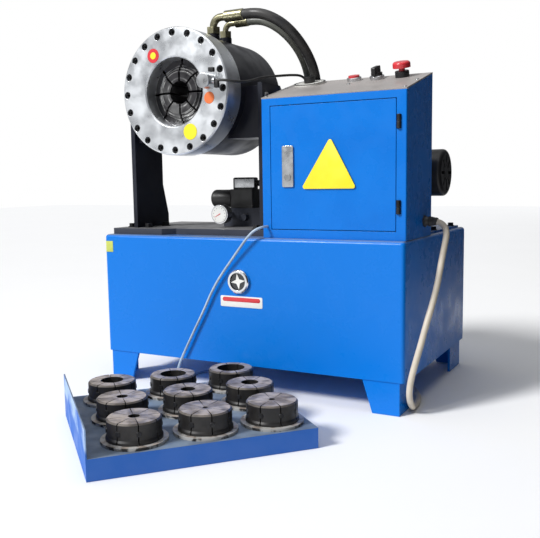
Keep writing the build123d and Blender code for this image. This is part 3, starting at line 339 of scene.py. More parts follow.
class Palette:
    """All finishes of the machine by their short names."""

    def __init__(self) -> None:
        """Make every material once."""
        blue = rgb(8, 114, 208)
        self.tank = Finish("tank_paint", blue, rgb(120, 132, 146), 0.3, specular=0.22,
            second_share=0.85, mask=Mask.UPWARD, grain=240, grain_strength=0.07, edge=0.002).build()
        self.cabinet = Finish("cabinet_paint", blue, rgb(6, 98, 190), 0.28, specular=0.22,
            second_share=0.35, grain=240, grain_strength=0.06).build()
        self.panel = Finish("panel_paint", rgb(160, 155, 152), rgb(138, 133, 130), 0.42, blotch=7,
            grain=900, grain_strength=0.12).build()
        self.ring = TurnedSteel("turned_steel", rgb(232, 235, 238), rgb(160, 162, 166), 0.34, 0.9,
            second_share=0.55, blotch=13, grain_strength=0.1, grain_depth=0.00008).build()
        self.head = Finish("head_enamel", rgb(15, 16, 26), rgb(40, 40, 50), 0.38, specular=0.35,
            blotch=8, grain=420, grain_strength=0.12).build()
        self.jaw = WornDie("jaw_oxide", rgb(62, 61, 63), rgb(216, 216, 214), 0.36, 0.85, blotch=25,
            grain_strength=0.14, edge=0.0009).build()
        self.steel = Finish("ground_steel", rgb(190, 192, 194), rgb(120, 120, 122), 0.3, 0.95,
            blotch=30, grain=300, stretch=(1, 9, 1)).build()
        self.plate = Finish("plate_steel", rgb(48, 52, 64), rgb(168, 166, 164), 0.5, 0.1,
            second_share=0.6, mask=Mask.UPWARD, blotch=14).build()
        self.cheek = Finish("cheek_paint", rgb(16, 19, 32), rgb(44, 48, 58), 0.45, 0.1, specular=0.3,
            blotch=8).build()
        self.screw = Finish("screw_black", rgb(30, 30, 32), rgb(72, 72, 74), 0.4, 0.6,
            second_share=0.45, blotch=60, edge=0.0006).build()
        self.zinc = Finish("zinc_olive", rgb(150, 146, 118), rgb(92, 88, 70), 0.33, 0.85,
            second_share=0.6, blotch=28, edge=0.001).build()
        self.chrome = Finish("bright_chrome", rgb(225, 226, 228), rgb(170, 170, 172), 0.14, 1.0,
            second_share=0.35, blotch=30, grain_strength=0.03).build()
        self.black = Finish("black_moulding", rgb(26, 26, 28), rgb(52, 51, 50), 0.42,
            second_share=0.45, blotch=18, grain=1400, grain_strength=0.2).build()
        self.white = Finish("white_plate", rgb(232, 232, 228), rgb(205, 204, 198), 0.4,
            second_share=0.4, blotch=20, grain_strength=0.05).build()
        self.red = Finish("red_moulding", rgb(214, 52, 60), rgb(180, 36, 44), 0.3, coat=0.3,
            second_share=0.4, blotch=30, grain_strength=0.04).build()
        self.orange = Finish("orange_plate", rgb(232, 120, 60), rgb(205, 96, 48), 0.45,
            second_share=0.4).build()
        self.yellow = Finish("yellow_plate", rgb(246, 226, 40), rgb(228, 204, 30), 0.38,
            second_share=0.35, blotch=16, grain_strength=0.05).build()
        self.green = Finish("pale_green_plate", rgb(196, 204, 96), rgb(160, 168, 80), 0.5,
            second_share=0.4, blotch=60).build()
        self.motor = Finish("motor_paint", rgb(84, 88, 94), rgb(120, 120, 118), 0.5, second_share=0.55,
            mask=Mask.UPWARD, blotch=18).build()
        self.hose = Finish("hose_cover", rgb(38, 38, 40), rgb(74, 72, 68), 0.5, second_share=0.45,
            blotch=24, grain=700, grain_strength=0.25, edge=0.0002).build()
        self.thin_hose = Finish("thin_hose_cover", rgb(92, 94, 88), rgb(120, 120, 112), 0.45,
            blotch=24, grain=700, edge=0.0002).build()
        self.mains = Finish("mains_sheath", rgb(206, 196, 180), rgb(168, 158, 142), 0.5, blotch=18,
            grain=600, edge=0.0002).build()
        self.thin = Finish("thin_sheath", rgb(172, 190, 208), rgb(132, 148, 166), 0.45, blotch=24,
            edge=0.0002).build()
        self.dark_cord = Finish("dark_sheath", rgb(34, 34, 36), rgb(66, 64, 62), 0.5, second_share=0.4,
            blotch=30, edge=0.0002).build()
        self.tray = TrayPaint("tray_paint", rgb(32, 98, 186), rgb(122, 138, 158), 0.55, grain=160,
            grain_strength=0.2).build()
        self.sets = SetSteel("set_steel", rgb(42, 40, 39), rgb(182, 170, 160), 0.46, 0.12, grain=420,
            grain_strength=0.25, edge=0.0009).build()
        self.cast = Finish("cast_paint", rgb(70, 73, 78), rgb(100, 100, 100), 0.5, mask=Mask.UPWARD,
            grain=500, grain_strength=0.35).build()
        self.dark_glass = Finish("oil_window", rgb(20, 26, 30), rgb(30, 34, 36), 0.08, coat=0.6,
            second_share=0.3, grain_strength=0.0).build()


# ------------------------------------------------------------------ meshes
class Bench:
    """Makes finished mesh pieces in the row frame."""

    @staticmethod
    def axes(origin: Sequence[float], normal: Sequence[float], across: Sequence[float]) -> Matrix:
        """Matrix with Z along a normal and X near a given direction.

        Args:
            origin: Where the local origin goes.
            normal: Direction of local Z.
            across: Direction that local X leans to.

        Returns:
            The placing matrix.
        """
        z_axis = Vector(normal).normalized()
        y_axis = z_axis.cross(Vector(across)).normalized()
        x_axis = y_axis.cross(z_axis)
        matrix = Matrix((x_axis, y_axis, z_axis)).transposed().to_4x4()
        matrix.translation = Vector(origin)
        return matrix

    @staticmethod
    def finish(name: str, mesh_source: bmesh.types.BMesh, material: Paint, body: str,
               slot: str, smooth: float = 32.0) -> Item:
        """Turn a bmesh into an object that rides on a body.

        Args:
            name: Piece name.
            mesh_source: The geometry, in the row frame.
            material: Its finish.
            body: The body that it rides on.
            slot: The record's material slot; not used.
            smooth: Angle in degrees under which faces shade smoothly.

        Returns:
            The new object.
        """
        bmesh.ops.recalc_face_normals(mesh_source, faces=mesh_source.faces)
        mesh = bpy.data.meshes.new(name)
        mesh_source.to_mesh(mesh)
        mesh_source.free()
        mesh.shade_smooth()
        mesh.set_sharp_from_angle(angle=math.radians(smooth))
        mesh.materials.append(material)
        piece = new_object(name, mesh)
        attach(piece, body)
        return piece

    @classmethod
    def lathe(cls, name: str, profile: Outline, place: Matrix,
              material: Paint, body: str, slot: str, steps: int = 48) -> Item:
        """A turned piece from (radius, height) points; radius 0 closes an end."""
        work = bmesh.new()
        rings = []
        for radius, height in profile:
            if radius <= 1e-7:
                rings.append([work.verts.new(place @ Vector((0, 0, height)))])
                continue
            turns = [2 * math.pi * i / steps for i in range(steps)]
            rings.append([work.verts.new(place @ Vector((radius * math.cos(turn), radius * math.sin(turn),
                                                         height))) for turn in turns])
        pairs = list(zip(rings, rings[1:]))
        if len(rings[0]) > 1 and len(rings[-1]) > 1:
            pairs.append((rings[-1], rings[0]))
        for low, high in pairs:
            for i in range(steps):
                j = (i + 1) % steps
                corners = [low[i % len(low)], low[j % len(low)], high[j % len(high)], high[i % len(high)]]
                unique = list(dict.fromkeys(corners))
                if len(unique) > 2:
                    work.faces.new(unique)
        return cls.finish(name, work, material, body, slot)

    @staticmethod
    def rounded(corners: Outline, radius: float, steps: int = 5) -> list[tuple[float, float]]:
        """A convex outline with round corners.

        Args:
            corners: The sharp outline, anticlockwise.
            radius: Corner radius.
            steps: Facets to each corner.

        Returns:
            The outline's points.
        """
        out = []
        count = len(corners)
        for i in range(count):
            before = Vector(corners[i - 1])
            here = Vector(corners[i])
            after = Vector(corners[(i + 1) % count])
            to_before = (before - here).normalized()
            to_after = (after - here).normalized()
            half = to_before.angle(to_after) / 2
            middle = here + (to_before + to_after).normalized() * radius / math.sin(half)
            start = here + to_before * radius / math.tan(half) - middle
            turn = math.pi - 2 * half
            for k in range(steps + 1):
                angle = turn * k / steps
                spun = Matrix.Rotation(angle, 2) @ start
                out.append(tuple(middle + spun))
        return out

    @classmethod
    def oblong(cls, width: float, height: float, radius: float) -> list[tuple[float, float]]:
        """A round-cornered rectangle about the origin."""
        x = width / 2
        y = height / 2
        return cls.rounded([(-x, -y), (x, -y), (x, y), (-x, y)], radius)

    @classmethod
    def slab(cls, name: str, outline: Outline, thickness: float, place: Matrix,
             material: Paint, body: str, slot: str, edge: float = 0.0004) -> Item:
        """A flat piece with a bevelled rim, its back on the placing plane."""
        work = bmesh.new()
        base = [work.verts.new((x, y, 0.0)) for x, y in outline]
        bottom = work.faces.new(base)
        raised = bmesh.ops.extrude_face_region(work, geom=[bottom])
        tops = [item for item in raised["geom"] if isinstance(item, bmesh.types.BMVert)]
        bmesh.ops.translate(work, verts=tops, vec=(0, 0, thickness))
        if edge > 0:
            rim = [e for e in work.edges if all(abs(v.co.z - thickness) < 1e-7 for v in e.verts)]
            bmesh.ops.bevel(work, geom=rim, offset=edge, segments=2, affect="EDGES", profile=0.6)
        bmesh.ops.transform(work, matrix=place, verts=work.verts)
        return cls.finish(name, work, material, body, slot)


class StudTree:
    """Geometry Nodes tree that sets a chamfered stud on each point of a mesh."""

    TOP_SHARE = 0.86

    def __init__(self) -> None:
        """Build the tree and keep its socket identifiers."""
        tree = bpy.data.node_groups.new("stud_on_each_point", "GeometryNodeTree")

        def number(name: str, kind: str) -> str:
            """Add an input and give its identifier."""
            return tree.interface.new_socket(name, in_out="INPUT", socket_type=kind).identifier

        tree.interface.new_socket("Geometry", in_out="INPUT", socket_type="NodeSocketGeometry")
        self.radius = number("Radius", "NodeSocketFloat")
        self.height = number("Height", "NodeSocketFloat")
        self.sides = number("Sides", "NodeSocketInt")
        self.material = number("Material", "NodeSocketMaterial")
        tree.interface.new_socket("Geometry", in_out="OUTPUT", socket_type="NodeSocketGeometry")
        nodes = tree.nodes
        start = nodes.new("NodeGroupInput")
        end = nodes.new("NodeGroupOutput")
        body = nodes.new("GeometryNodeMeshCone")
        on_points = nodes.new("GeometryNodeInstanceOnPoints")
        facing = nodes.new("GeometryNodeInputNamedAttribute")
        align = nodes.new("FunctionNodeAlignRotationToVector")
        top = nodes.new("ShaderNodeMath")
        real = nodes.new("GeometryNodeRealizeInstances")
        paint = nodes.new("GeometryNodeSetMaterial")
        facing.data_type = "FLOAT_VECTOR"
        facing.inputs["Name"].default_value = "facing"
        top.operation = "MULTIPLY"
        top.inputs[1].default_value = self.TOP_SHARE
        for source, out, target, into in (
                (start, "Radius", top, 0), (start, "Sides", body, "Vertices"),
                (start, "Radius", body, "Radius Bottom"), (top, 0, body, "Radius Top"),
                (start, "Height", body, "Depth"), (body, "Mesh", on_points, "Instance"),
                (start, "Geometry", on_points, "Points"),
                (facing, "Attribute", align, "Vector"), (align, "Rotation", on_points, "Rotation"),
                (on_points, "Instances", real, "Geometry"), (real, "Geometry", paint, "Geometry"),
                (start, "Material", paint, "Material"), (paint, "Geometry", end, "Geometry")):
            tree.links.new(source.outputs[out], target.inputs[into])
        self.tree = tree

    def row(self, name: str, points: Iterable[tuple[Vector, Vector]], radius: float, height: float,
            material: Paint, body: str, slot: str, sides: int = 20) -> Item:
        """Set studs on points, each facing its own way, as one plain mesh.

        Args:
            name: Piece name.
            points: Place and facing of each stud.
            radius: Stud radius at its foot.
            height: Stud height.
            material: Its finish.
            body: The body that it rides on.
            slot: The record's material slot; not used.
            sides: Facets round a stud.

        Returns:
            The new object.
        """
        places = list(points)
        seed = bpy.data.meshes.new(f"{name}_seed")
        seed.from_pydata([place for place, _ in places], [], [])
        attribute = seed.attributes.new("facing", "FLOAT_VECTOR", "POINT")
        for i, (_, way) in enumerate(places):
            attribute.data[i].vector = way.normalized()
        holder = new_object(f"{name}_holder", seed)
        modifier = holder.modifiers.new("studs", "NODES")
        modifier.node_group = self.tree
        modifier[self.radius] = radius
        modifier[self.height] = height
        modifier[self.sides] = sides
        modifier[self.material] = material
        graph = bpy.context.evaluated_depsgraph_get()
        mesh = bpy.data.meshes.new_from_object(holder.evaluated_get(graph))
        mesh.name = name
        piece = new_object(name, mesh)
        bpy.data.objects.remove(holder)
        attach(piece, body)
        return piece


def dress(material: Paint, *nodes: str) -> None:
    """Give CAD nodes a finish.

    Args:
        material: The finish.
        nodes: The nodes' names.
    """
    for name in nodes:
        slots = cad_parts[name].data.materials
        slots.clear()
        slots.append(material)


# ------------------------------------------------------------------ sub-assemblies
@dataclass
class SubAssembly:
    """A part of the machine that dresses its CAD nodes and adds its small pieces."""

    palette: Palette
    studs: StudTree

    def build(self) -> None:
        """Dress the nodes, then add the pieces."""
        self.dress_nodes()
        self.add_pieces()
        LOG.info("%s done", type(self).__name__)

    def dress_nodes(self) -> None:
        """Give the CAD nodes their finishes."""

    def add_pieces(self) -> None:
        """Add the small pieces."""


@dataclass
class TankUnit(SubAssembly):
    """Oil tank, its legs, sight glass and plates."""

    front_y: float = 0.0229
    glass: Point = (-0.0005, 0.0176, 0.2735)
    glass_r: float = 0.0195
    label: tuple[float, float, float, float] = (-0.052, 0.061, 0.212, 0.238)
    square: tuple[float, float, float, float] = (-0.395, -0.373, 0.331, 0.359)

    def dress_nodes(self) -> None:
        """Blue paint on tank and legs, chrome and dark glass at the window."""
        p = self.palette
        dress(p.tank, "oil_tank", "tank_legs", "tank_cover")
        dress(p.chrome, "sight_glass_ring")
        dress(p.dark_glass, "sight_glass_lens")
        dress(p.black, "breather_cap")
        dress(p.screw, "deck_bolts")

    def plate(self, name: str, area: tuple[float, float, float, float], lift: float, radius: float,
              material: Paint, slot: str) -> None:
        """A thin round-cornered plate on the tank's front."""
        x0, x1, z0, z1 = area
        place = Bench.axes(((x0 + x1) / 2, self.front_y - lift, (z0 + z1) / 2), FRONT, RIGHT)
        Bench.slab(name, Bench.oblong(x1 - x0, z1 - z0, radius), PLATE_T, place, material, "machine",
                   slot, 0.0002)

    def add_pieces(self) -> None:
        """Window reflector, plain plates, and the small square."""
        p = self.palette
        star = []
        for i in range(8):
            radius = self.glass_r if i % 2 == 0 else self.glass_r * 0.34
            angle = math.radians(45 * i + 8)
            star.append((radius * math.cos(angle), radius * math.sin(angle)))
        Bench.slab("window_star", star, 0.0005, Bench.axes(self.glass, FRONT, RIGHT), p.white, "machine",
                   "white_plastic", 0.0)
        x0, x1, z0, z1 = self.label
        self.plate("window_plate", self.label, 0.0, 0.003, p.white, "white_plastic")
        self.plate("window_plate_bar", (x0 + 0.006, x1 - 0.006, z0 + 0.013, z1 - 0.003), 0.0006, 0.0045,
                   p.red, "red_plastic")
        self.plate("corner_square", self.square, 0.0, 0.001, p.green, "white_plastic")


@dataclass
class HeadUnit(SubAssembly):
    """Crimping head: ring, jaws, wedge, body, cheeks and foot."""

    face_y: float = -0.0071
    spots: tuple[tuple[float, float, float, str], ...] = (
        (-0.205, 0.802, 0.0165, "red"), (-0.205, 0.802, 0.0080, "yellow"),
        (-0.052, 0.696, 0.0135, "orange"), (-0.106, 0.622, 0.0185, "yellow"))

    def dress_nodes(self) -> None:
        """Turned ring, worn jaws, dark body."""
        p = self.palette
        dress(p.ring, "front_ring")
        dress(p.screw, "front_ring_bolts")
        dress(p.head, "head_body", "rear_cap")
        dress(p.jaw, *(f"jaw_{i}" for i in range(1, 9)))
        dress(p.jaw, "wedge_ring", "piston")
        dress(p.cheek, "cheek_left", "cheek_right")
        dress(p.plate, "head_foot_plate")
        dress(p.steel, "position_probe")
        dress(p.zinc, "hose_fittings")

    def add_pieces(self) -> None:
        """Plain round stickers, probe bracket pieces and the cheek's clip."""
        p = self.palette
        for i, (x, z, radius, colour) in enumerate(self.spots):
            lift = 0.0003 * (i % 2 == 1 and colour == "yellow")
            place = Bench.axes((x, self.face_y - lift, z), FRONT, RIGHT)
            profile = [(0, 0), (radius, 0), (radius, 0.0002), (radius - 0.0002, 0.0004), (0, 0.0004)]
            Bench.lathe(f"ring_spot_{i + 1}", profile, place, getattr(p, colour), "machine",
                        "red_plastic", 40)
        for i, (x, y, z, w, h) in enumerate(((-0.034, -0.020, 0.755, 0.013, 0.010),
                                             (-0.022, -0.018, 0.722, 0.010, 0.015))):
            Bench.slab(f"probe_bracket_{i + 1}", Bench.oblong(w, h, 0.0015), 0.008,
                       Bench.axes((x, y, z), FRONT, RIGHT), p.black, "machine", "black_plastic", 0.0008)
        low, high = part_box("cheek_right")
        Bench.slab("cheek_clip", Bench.oblong(0.014, 0.022, 0.002), 0.004,
                   Bench.axes((high[0], low[1] + 0.016, 0.700), RIGHT, (0, 1, 0)), p.steel, "machine",
                   "zinc_steel", 0.0008)


@dataclass(frozen=True)
class BezelFinish(Finish):
    """White dial plate, bright button bezels and a black stop collar, by place along the panel."""

    dial_end: float = 0.16
    knobs_end: float = 0.305

    def base(self, shop: Shop) -> Socket:
        """Colour by place; the metal share follows it."""
        along = shop.split(shop.place()).outputs[0]
        past_dial = shop.math("GREATER_THAN", along, self.dial_end)
        past_knobs = shop.math("GREATER_THAN", along, self.knobs_end)
        grime = shop.span(shop.noise(30.0, 6.0), 0.45, 0.75)
        plate = shop.mix(self.colour, rgb(190, 188, 182), grime)
        metal = shop.mix(rgb(206, 207, 209), rgb(150, 150, 152), grime)
        shop.link(shop.math("SUBTRACT", past_dial, past_knobs), shop.shader.inputs["Metallic"])
        return shop.mix(shop.mix(plate, metal, past_dial), self.second, past_knobs)


@dataclass
class CabinetUnit(SubAssembly):
    """Electric box with its door, latch, sloped panel and controls."""

    slope: float = math.atan2(0.052, 0.186)
    dial: tuple[float, float] = (0.107, 0.1557)
    dial_t: float = 0.004
    dial_marks_r: float = 0.030
    panel_foot: Point = (0.0, 0.0439, 0.693)
    screws: tuple[tuple[float, float], ...] = ((0.062, 0.120), (0.225, 0.108), (0.388, 0.100),
                                               (0.062, 0.012), (0.388, 0.012))

    def on_panel(self, x: float, up: float, lift: float = 0.0) -> Vector:
        """A point on the sloped panel."""
        y = up * math.cos(self.slope) - lift * math.sin(self.slope)
        z = up * math.sin(self.slope) + lift * math.cos(self.slope)
        return Vector((x, self.panel_foot[1] + y, self.panel_foot[2] + z))

    def normal(self) -> Vector:
        """The panel's outward direction."""
        return Vector((0, -math.sin(self.slope), math.cos(self.slope)))

    def dress_nodes(self) -> None:
        """Blue box and door, grey panel, plastics."""
        p = self.palette
        dress(p.cabinet, "cabinet", "cabinet_door")
        dress(p.panel, "control_panel")
        dress(p.steel, "door_latch")
        bezels = BezelFinish("bezel_mix", rgb(226, 225, 220), rgb(28, 28, 30), 0.3)
        dress(bezels.build(), "control_bezels")
        dress(p.black, "setting_dial", "selector_knob", "cable_gland", "control_gear")
        dress(p.red, "push_button", "stop_button")

    def add_pieces(self) -> None:
        """Panel screws, dial ring and marks, door plates and hinges."""
        p = self.palette
        up = self.normal()
        self.studs.row("panel_screws", [(self.on_panel(x, y), up) for x, y in self.screws], 0.0042,
                       0.0016, p.steel, "machine", "zinc_steel")
        ring = [(0.0335, 0.0), (0.0385, 0.0), (0.0385, 0.0004), (0.0335, 0.0004)]
        Bench.lathe("dial_ring", ring, Bench.axes(self.on_panel(*self.dial, self.dial_t), up, RIGHT),
                    p.black, "machine", "black_plastic", 72)
        ticks = []
        for i in range(11):
            angle = math.radians(225 - 27 * i)
            across = self.dial[0] + self.dial_marks_r * math.cos(angle)
            along = self.dial[1] + self.dial_marks_r * math.sin(angle)
            ticks.append((self.on_panel(across, along, self.dial_t), up))
        self.studs.row("dial_marks", ticks, 0.0014, 0.0004, p.black, "machine", "black_plastic", 12)
        base = [(-0.066, 0.0), (0.066, 0.0), (0.005, 0.112)]
        Bench.slab("door_triangle", Bench.rounded(base, 0.005), PLATE_T,
                   Bench.axes((0.220, DOOR_FRONT_Y, 0.487), FRONT, RIGHT), p.yellow, "door",
                   "white_plastic", 0.0002)
        Bench.slab("latch_plate", Bench.oblong(0.028, 0.092, 0.003), 0.0008,
                   Bench.axes((0.121, DOOR_FRONT_Y, 0.5375), FRONT, RIGHT), p.steel, "door", "chrome",
                   0.0003)
        pin = [(0, 0), (0.0042, 0), (0.005, 0.001), (0.005, 0.0135), (0.0042, 0.0145), (0.0042, 0.0155),
               (0.005, 0.0165), (0.005, 0.029), (0.0042, 0.030), (0, 0.030)]
        for i, z in enumerate((0.432, 0.610)):
            Bench.lathe(f"door_hinge_{i + 1}", pin, Bench.axes((0.3795, 0.0425, z), (0, 0, 1), RIGHT),
                        p.screw, "machine", "dark_steel", 24)


@dataclass
class HydraulicsUnit(SubAssembly):
    """Pump, valve, gauge and their fittings on the tank's top."""

    gauge: Point = (-0.118, 0.1305, 0.424)
    face_r: float = 0.0205
    face_t: float = 0.0003
    marks_r: float = 0.0165
    needle_turn: float = math.radians(118)

    def dress_nodes(self) -> None:
        """Cast pump, black solenoid, dark block."""
        p = self.palette
        dress(p.cast, "pump_unit")
        dress(p.black, "solenoid_valve", "valve_connector")
        dress(p.plate, "valve_block")
        dress(p.chrome, "pressure_gauge")

    def add_pieces(self) -> None:
        """Gauge face with marks and needle, connector plate."""
        p = self.palette
        face = Bench.axes(self.gauge, FRONT, RIGHT)
        disc = [(0, 0), (self.face_r, 0), (self.face_r, self.face_t), (0, self.face_t)]
        Bench.lathe("gauge_face", disc, face, p.white, "machine", "white_plastic", 48)
        marks = []
        for i in range(11):
            angle = math.radians(225 - 27 * i)
            place = face @ Vector((self.marks_r * math.cos(angle), self.marks_r * math.sin(angle),
                                   self.face_t))
            marks.append((place, Vector(FRONT)))
        self.studs.row("gauge_marks", marks, 0.0009, 0.0003, p.black, "machine", "black_plastic", 8)
        needle = [(-0.0012, -0.004), (0.0012, -0.004), (0.0003, 0.0155), (-0.0003, 0.0155)]
        Bench.slab("gauge_needle", needle, 0.0003,
                   face @ Matrix.Translation((0, 0, 0.0005)) @ Matrix.Rotation(self.needle_turn, 4, "Z"),
                   p.red, "machine", "black_plastic", 0.0)
        low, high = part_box("valve_connector")
        size = (high[0] - low[0] - 0.008, high[2] - low[2] - 0.008)
        Bench.slab("connector_plate", Bench.oblong(*size, 0.002), 0.0012,
                   Bench.axes(((low[0] + high[0]) / 2, low[1], (low[2] + high[2]) / 2), FRONT, RIGHT),
                   p.steel, "machine", "zinc_steel", 0.0004)


@dataclass
class MotorUnit(SubAssembly):
    """Motor, its fan and cowl."""

    def dress_nodes(self) -> None:
        """Grey frame, black cowl, steel rotor."""
        p = self.palette
        dress(p.motor, "motor_frame")
        dress(p.black, "fan_cowl")
        dress(p.steel, "motor_rotor")


@dataclass
class DieSetUnit(SubAssembly):
    """Tray with nine sets of eight die segments."""

    turn: float = 48.1
    foot_r: float = 0.062
    set_r: float = 0.0503
    button_z: float = 0.066

    def dress_nodes(self) -> None:
        """Dusty tray, phosphated sets."""
        dress(self.palette.tray, "die_tray")
        dress(self.palette.sets, "die_sets_left", "die_sets_middle", "die_sets_right")

    def add_pieces(self) -> None:
        """One button on each segment's side."""
        for side in ("left", "middle", "right"):
            low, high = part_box(f"die_sets_{side}")
            first = Vector((low[0] + self.foot_r, high[1] - self.foot_r, self.button_z))
            last = Vector((high[0] - self.foot_r, low[1] + self.foot_r, self.button_z))
            points = []
            for k in range(3):
                centre = first.lerp(last, k / 2)
                for i in range(8):
                    angle = math.radians(self.turn + 45 * i)
                    out = Vector((math.cos(angle), math.sin(angle), 0))
                    points.append((centre + out * self.set_r, out))
            self.studs.row(f"set_buttons_{side}", points, 0.0055, 0.0014, self.palette.screw, "machine",
                           "set_steel")


# ------------------------------------------------------------------ cords
@dataclass(frozen=True)
class CordPlan:
    """One cord: its route in metres, its size and how it lies."""

    name: str
    diameter: float
    length: float
    material: str
    slot: str
    nodes: tuple[str, ...]
    far_end: str
    stiffness: str
    lay: str
    route: tuple[Point, ...]
    pieces: tuple[str, ...] = ()


def coil_turns(centre: tuple[float, float], start: float, way: float,
               keys: Sequence[tuple[float, float, float]], step: float = 15.0) -> list[Point]:
    """Turns of a floor coil.

    Args:
        centre: The coil's middle.
        start: Angle in degrees where the turns begin.
        way: 1 for anticlockwise, -1 for clockwise.
        keys: (swept angle in degrees, radius, height) to ease between.
        step: Degrees between points.

    Returns:
        The points after the first.
    """
    points = []
    for (a0, r0, z0), (a1, r1, z1) in zip(keys, keys[1:]):
        count = round((a1 - a0) / step)
        for i in range(1, count + 1):
            share = i / count
            ease = share * share * (3 - 2 * share)
            angle = math.radians(start + way * (a0 + (a1 - a0) * share))
            radius = r0 + (r1 - r0) * ease
            points.append((centre[0] + radius * math.cos(angle), centre[1] + radius * math.sin(angle),
                           z0 + (z1 - z0) * ease))
    return points


def lead_in(start: Point, end: Point, drop_from: float, count: int = 9) -> list[Point]:
    """An S-bend between two parallel headings along X, its height changing late.

    Args:
        start: Where the last turn ends.
        end: The far end's mouth.
        drop_from: Share of the way where the height begins to change.
        count: Points on the bend.

    Returns:
        The points after the first.
    """
    points = []
    for i in range(1, count + 1):
        share = i / count
        ease = share * share * (3 - 2 * share)
        fall = max(0.0, (share - drop_from) / (1 - drop_from))
        points.append((start[0] + (end[0] - start[0]) * share, start[1] + (end[1] - start[1]) * ease,
                       start[2] + (end[2] - start[2]) * fall))
    return points


def metres(*points: Point) -> tuple[Point, ...]:
    """Route points given in millimetres, in metres."""
    return tuple((round(x / 1000, 6), round(y / 1000, 6), round(z / 1000, 6)) for x, y, z in points)


CLOSE_HOSE = metres(
    (-25, 110.9, 898.2), (7, 110.9, 898.2), (41, 115.4, 888.2), (71, 128.9, 869.2), (91, 151.9, 843.2),
    (102, 183.9, 812.2), (104, 218.9, 780.2), (100, 248.9, 745.2), (91, 265.9, 702.2),
    (76, 272.9, 657.2), (57, 275.9, 612.2), (38, 277.9, 571.2), (23, 279.9, 537), (16, 278.9, 515),
    (13, 278.9, 495), (13, 278.9, 474),
)
OPEN_HOSE = metres(
    (-44, 166.9, 893.2), (-17, 166.9, 893.2), (10, 169.9, 884.2), (34, 180.9, 868.2),
    (52, 198.9, 847.2), (63, 223.9, 822.2), (67, 251.9, 793.2), (65, 277.9, 759.2), (57, 293.9, 719.2),
    (45, 302.9, 676.2), (30, 306.9, 632.2), (14, 308.9, 590.2), (-1, 309.9, 553.2), (-13, 309.9, 521),
    (-20, 308.9, 497), (-22, 308.9, 474),
)
PROBE_CORD = metres(
    (-26, -23.1, 731), (-8, -23.1, 731), (11, -12.1, 728), (26, 9.9, 727), (34, 35.9, 732),
    (38, 64.9, 740), (41, 98.9, 747), (44, 132.9, 752), (50, 165.9, 757), (58, 196.9, 761),
    (66, 226.9, 763), (70, 244.9, 757), (70, 257.9, 746), (70, 262.9, 730), (70, 258.9, 714),
    (70, 246.9, 703), (70, 229.9, 703),
)
VALVE_CORD = metres(
    (-49, 212.9, 501), (-27, 212.9, 501), (0, 218.9, 502), (29, 232.9, 501), (53, 251.9, 498),
    (78, 269.9, 494), (105, 283.9, 490), (133, 290.9, 486), (160, 288.9, 483), (181, 276.9, 480),
    (194, 254.9, 479), (194, 229.9, 479),
)
MAINS_ROUTE = metres(
    (408, 171.9, 411), (428, 171.9, 411), (445, 165.9, 402), (453, 153.9, 386), (453, 137.9, 362),
    (450, 122.9, 327), (447, 107.9, 283), (441, 88.9, 238), (434, 70.9, 200), (427, 53.9, 156),
    (419, 39.9, 116), (412, 31.9, 81), (409, 29.9, 51), (408, 42.4, 29.5), (406, 62.4, 14),
    (402, 86.9, 7.4), (400, 126.9, 7.4), (388, 168.9, 7.4), (362, 216.9, 7.4), (328, 266.9, 7.4),
    (297, 316.9, 7.4), (279, 364.9, 7.4), (274, 400.9, 7.4), (274, 430.9, 7.4),
)
PEDAL_ROUTE = metres(
    (66, 43.9, 402), (66, 27.9, 402), (60, 14.9, 400), (48, 7.9, 393), (32, 7.9, 378), (12, 9.9, 355),
    (-14, 12.9, 324), (-43, 13.9, 289), (-70, 13.9, 249), (-94, 13.9, 201), (-123, 13.9, 150),
    (-152, 12.9, 96), (-170, 13.9, 63), (-181, 17.9, 36), (-191, 28.9, 15), (-198, 48.9, 3.4),
    (-204, 78.9, 3.4), (-204, 116.9, 3.4), (-196, 160.9, 3.4), (-180, 204.9, 3.4), (-160, 248.9, 3.4),
    (-148, 292.9, 3.4), (-144, 324.9, 3.4), (-144, 352.9, 3.4),
)
MAINS_KEYS = ((0, 0.074, 0.0074), (90, 0.080, 0.0074), (180, 0.062, 0.0074), (270, 0.072, 0.0074),
              (360, 0.060, 0.0074), (450, 0.066, 0.0074), (540, 0.048, 0.0074), (690, 0.070, 0.0216),
              (810, 0.070, 0.0216))
PEDAL_KEYS = ((0, 0.034, 0.0034), (90, 0.037, 0.0034), (270, 0.035, 0.0034), (360, 0.028, 0.0034),
              (450, 0.031, 0.0034), (540, 0.030, 0.0034), (690, 0.033, 0.0098), (810, 0.033, 0.0098))


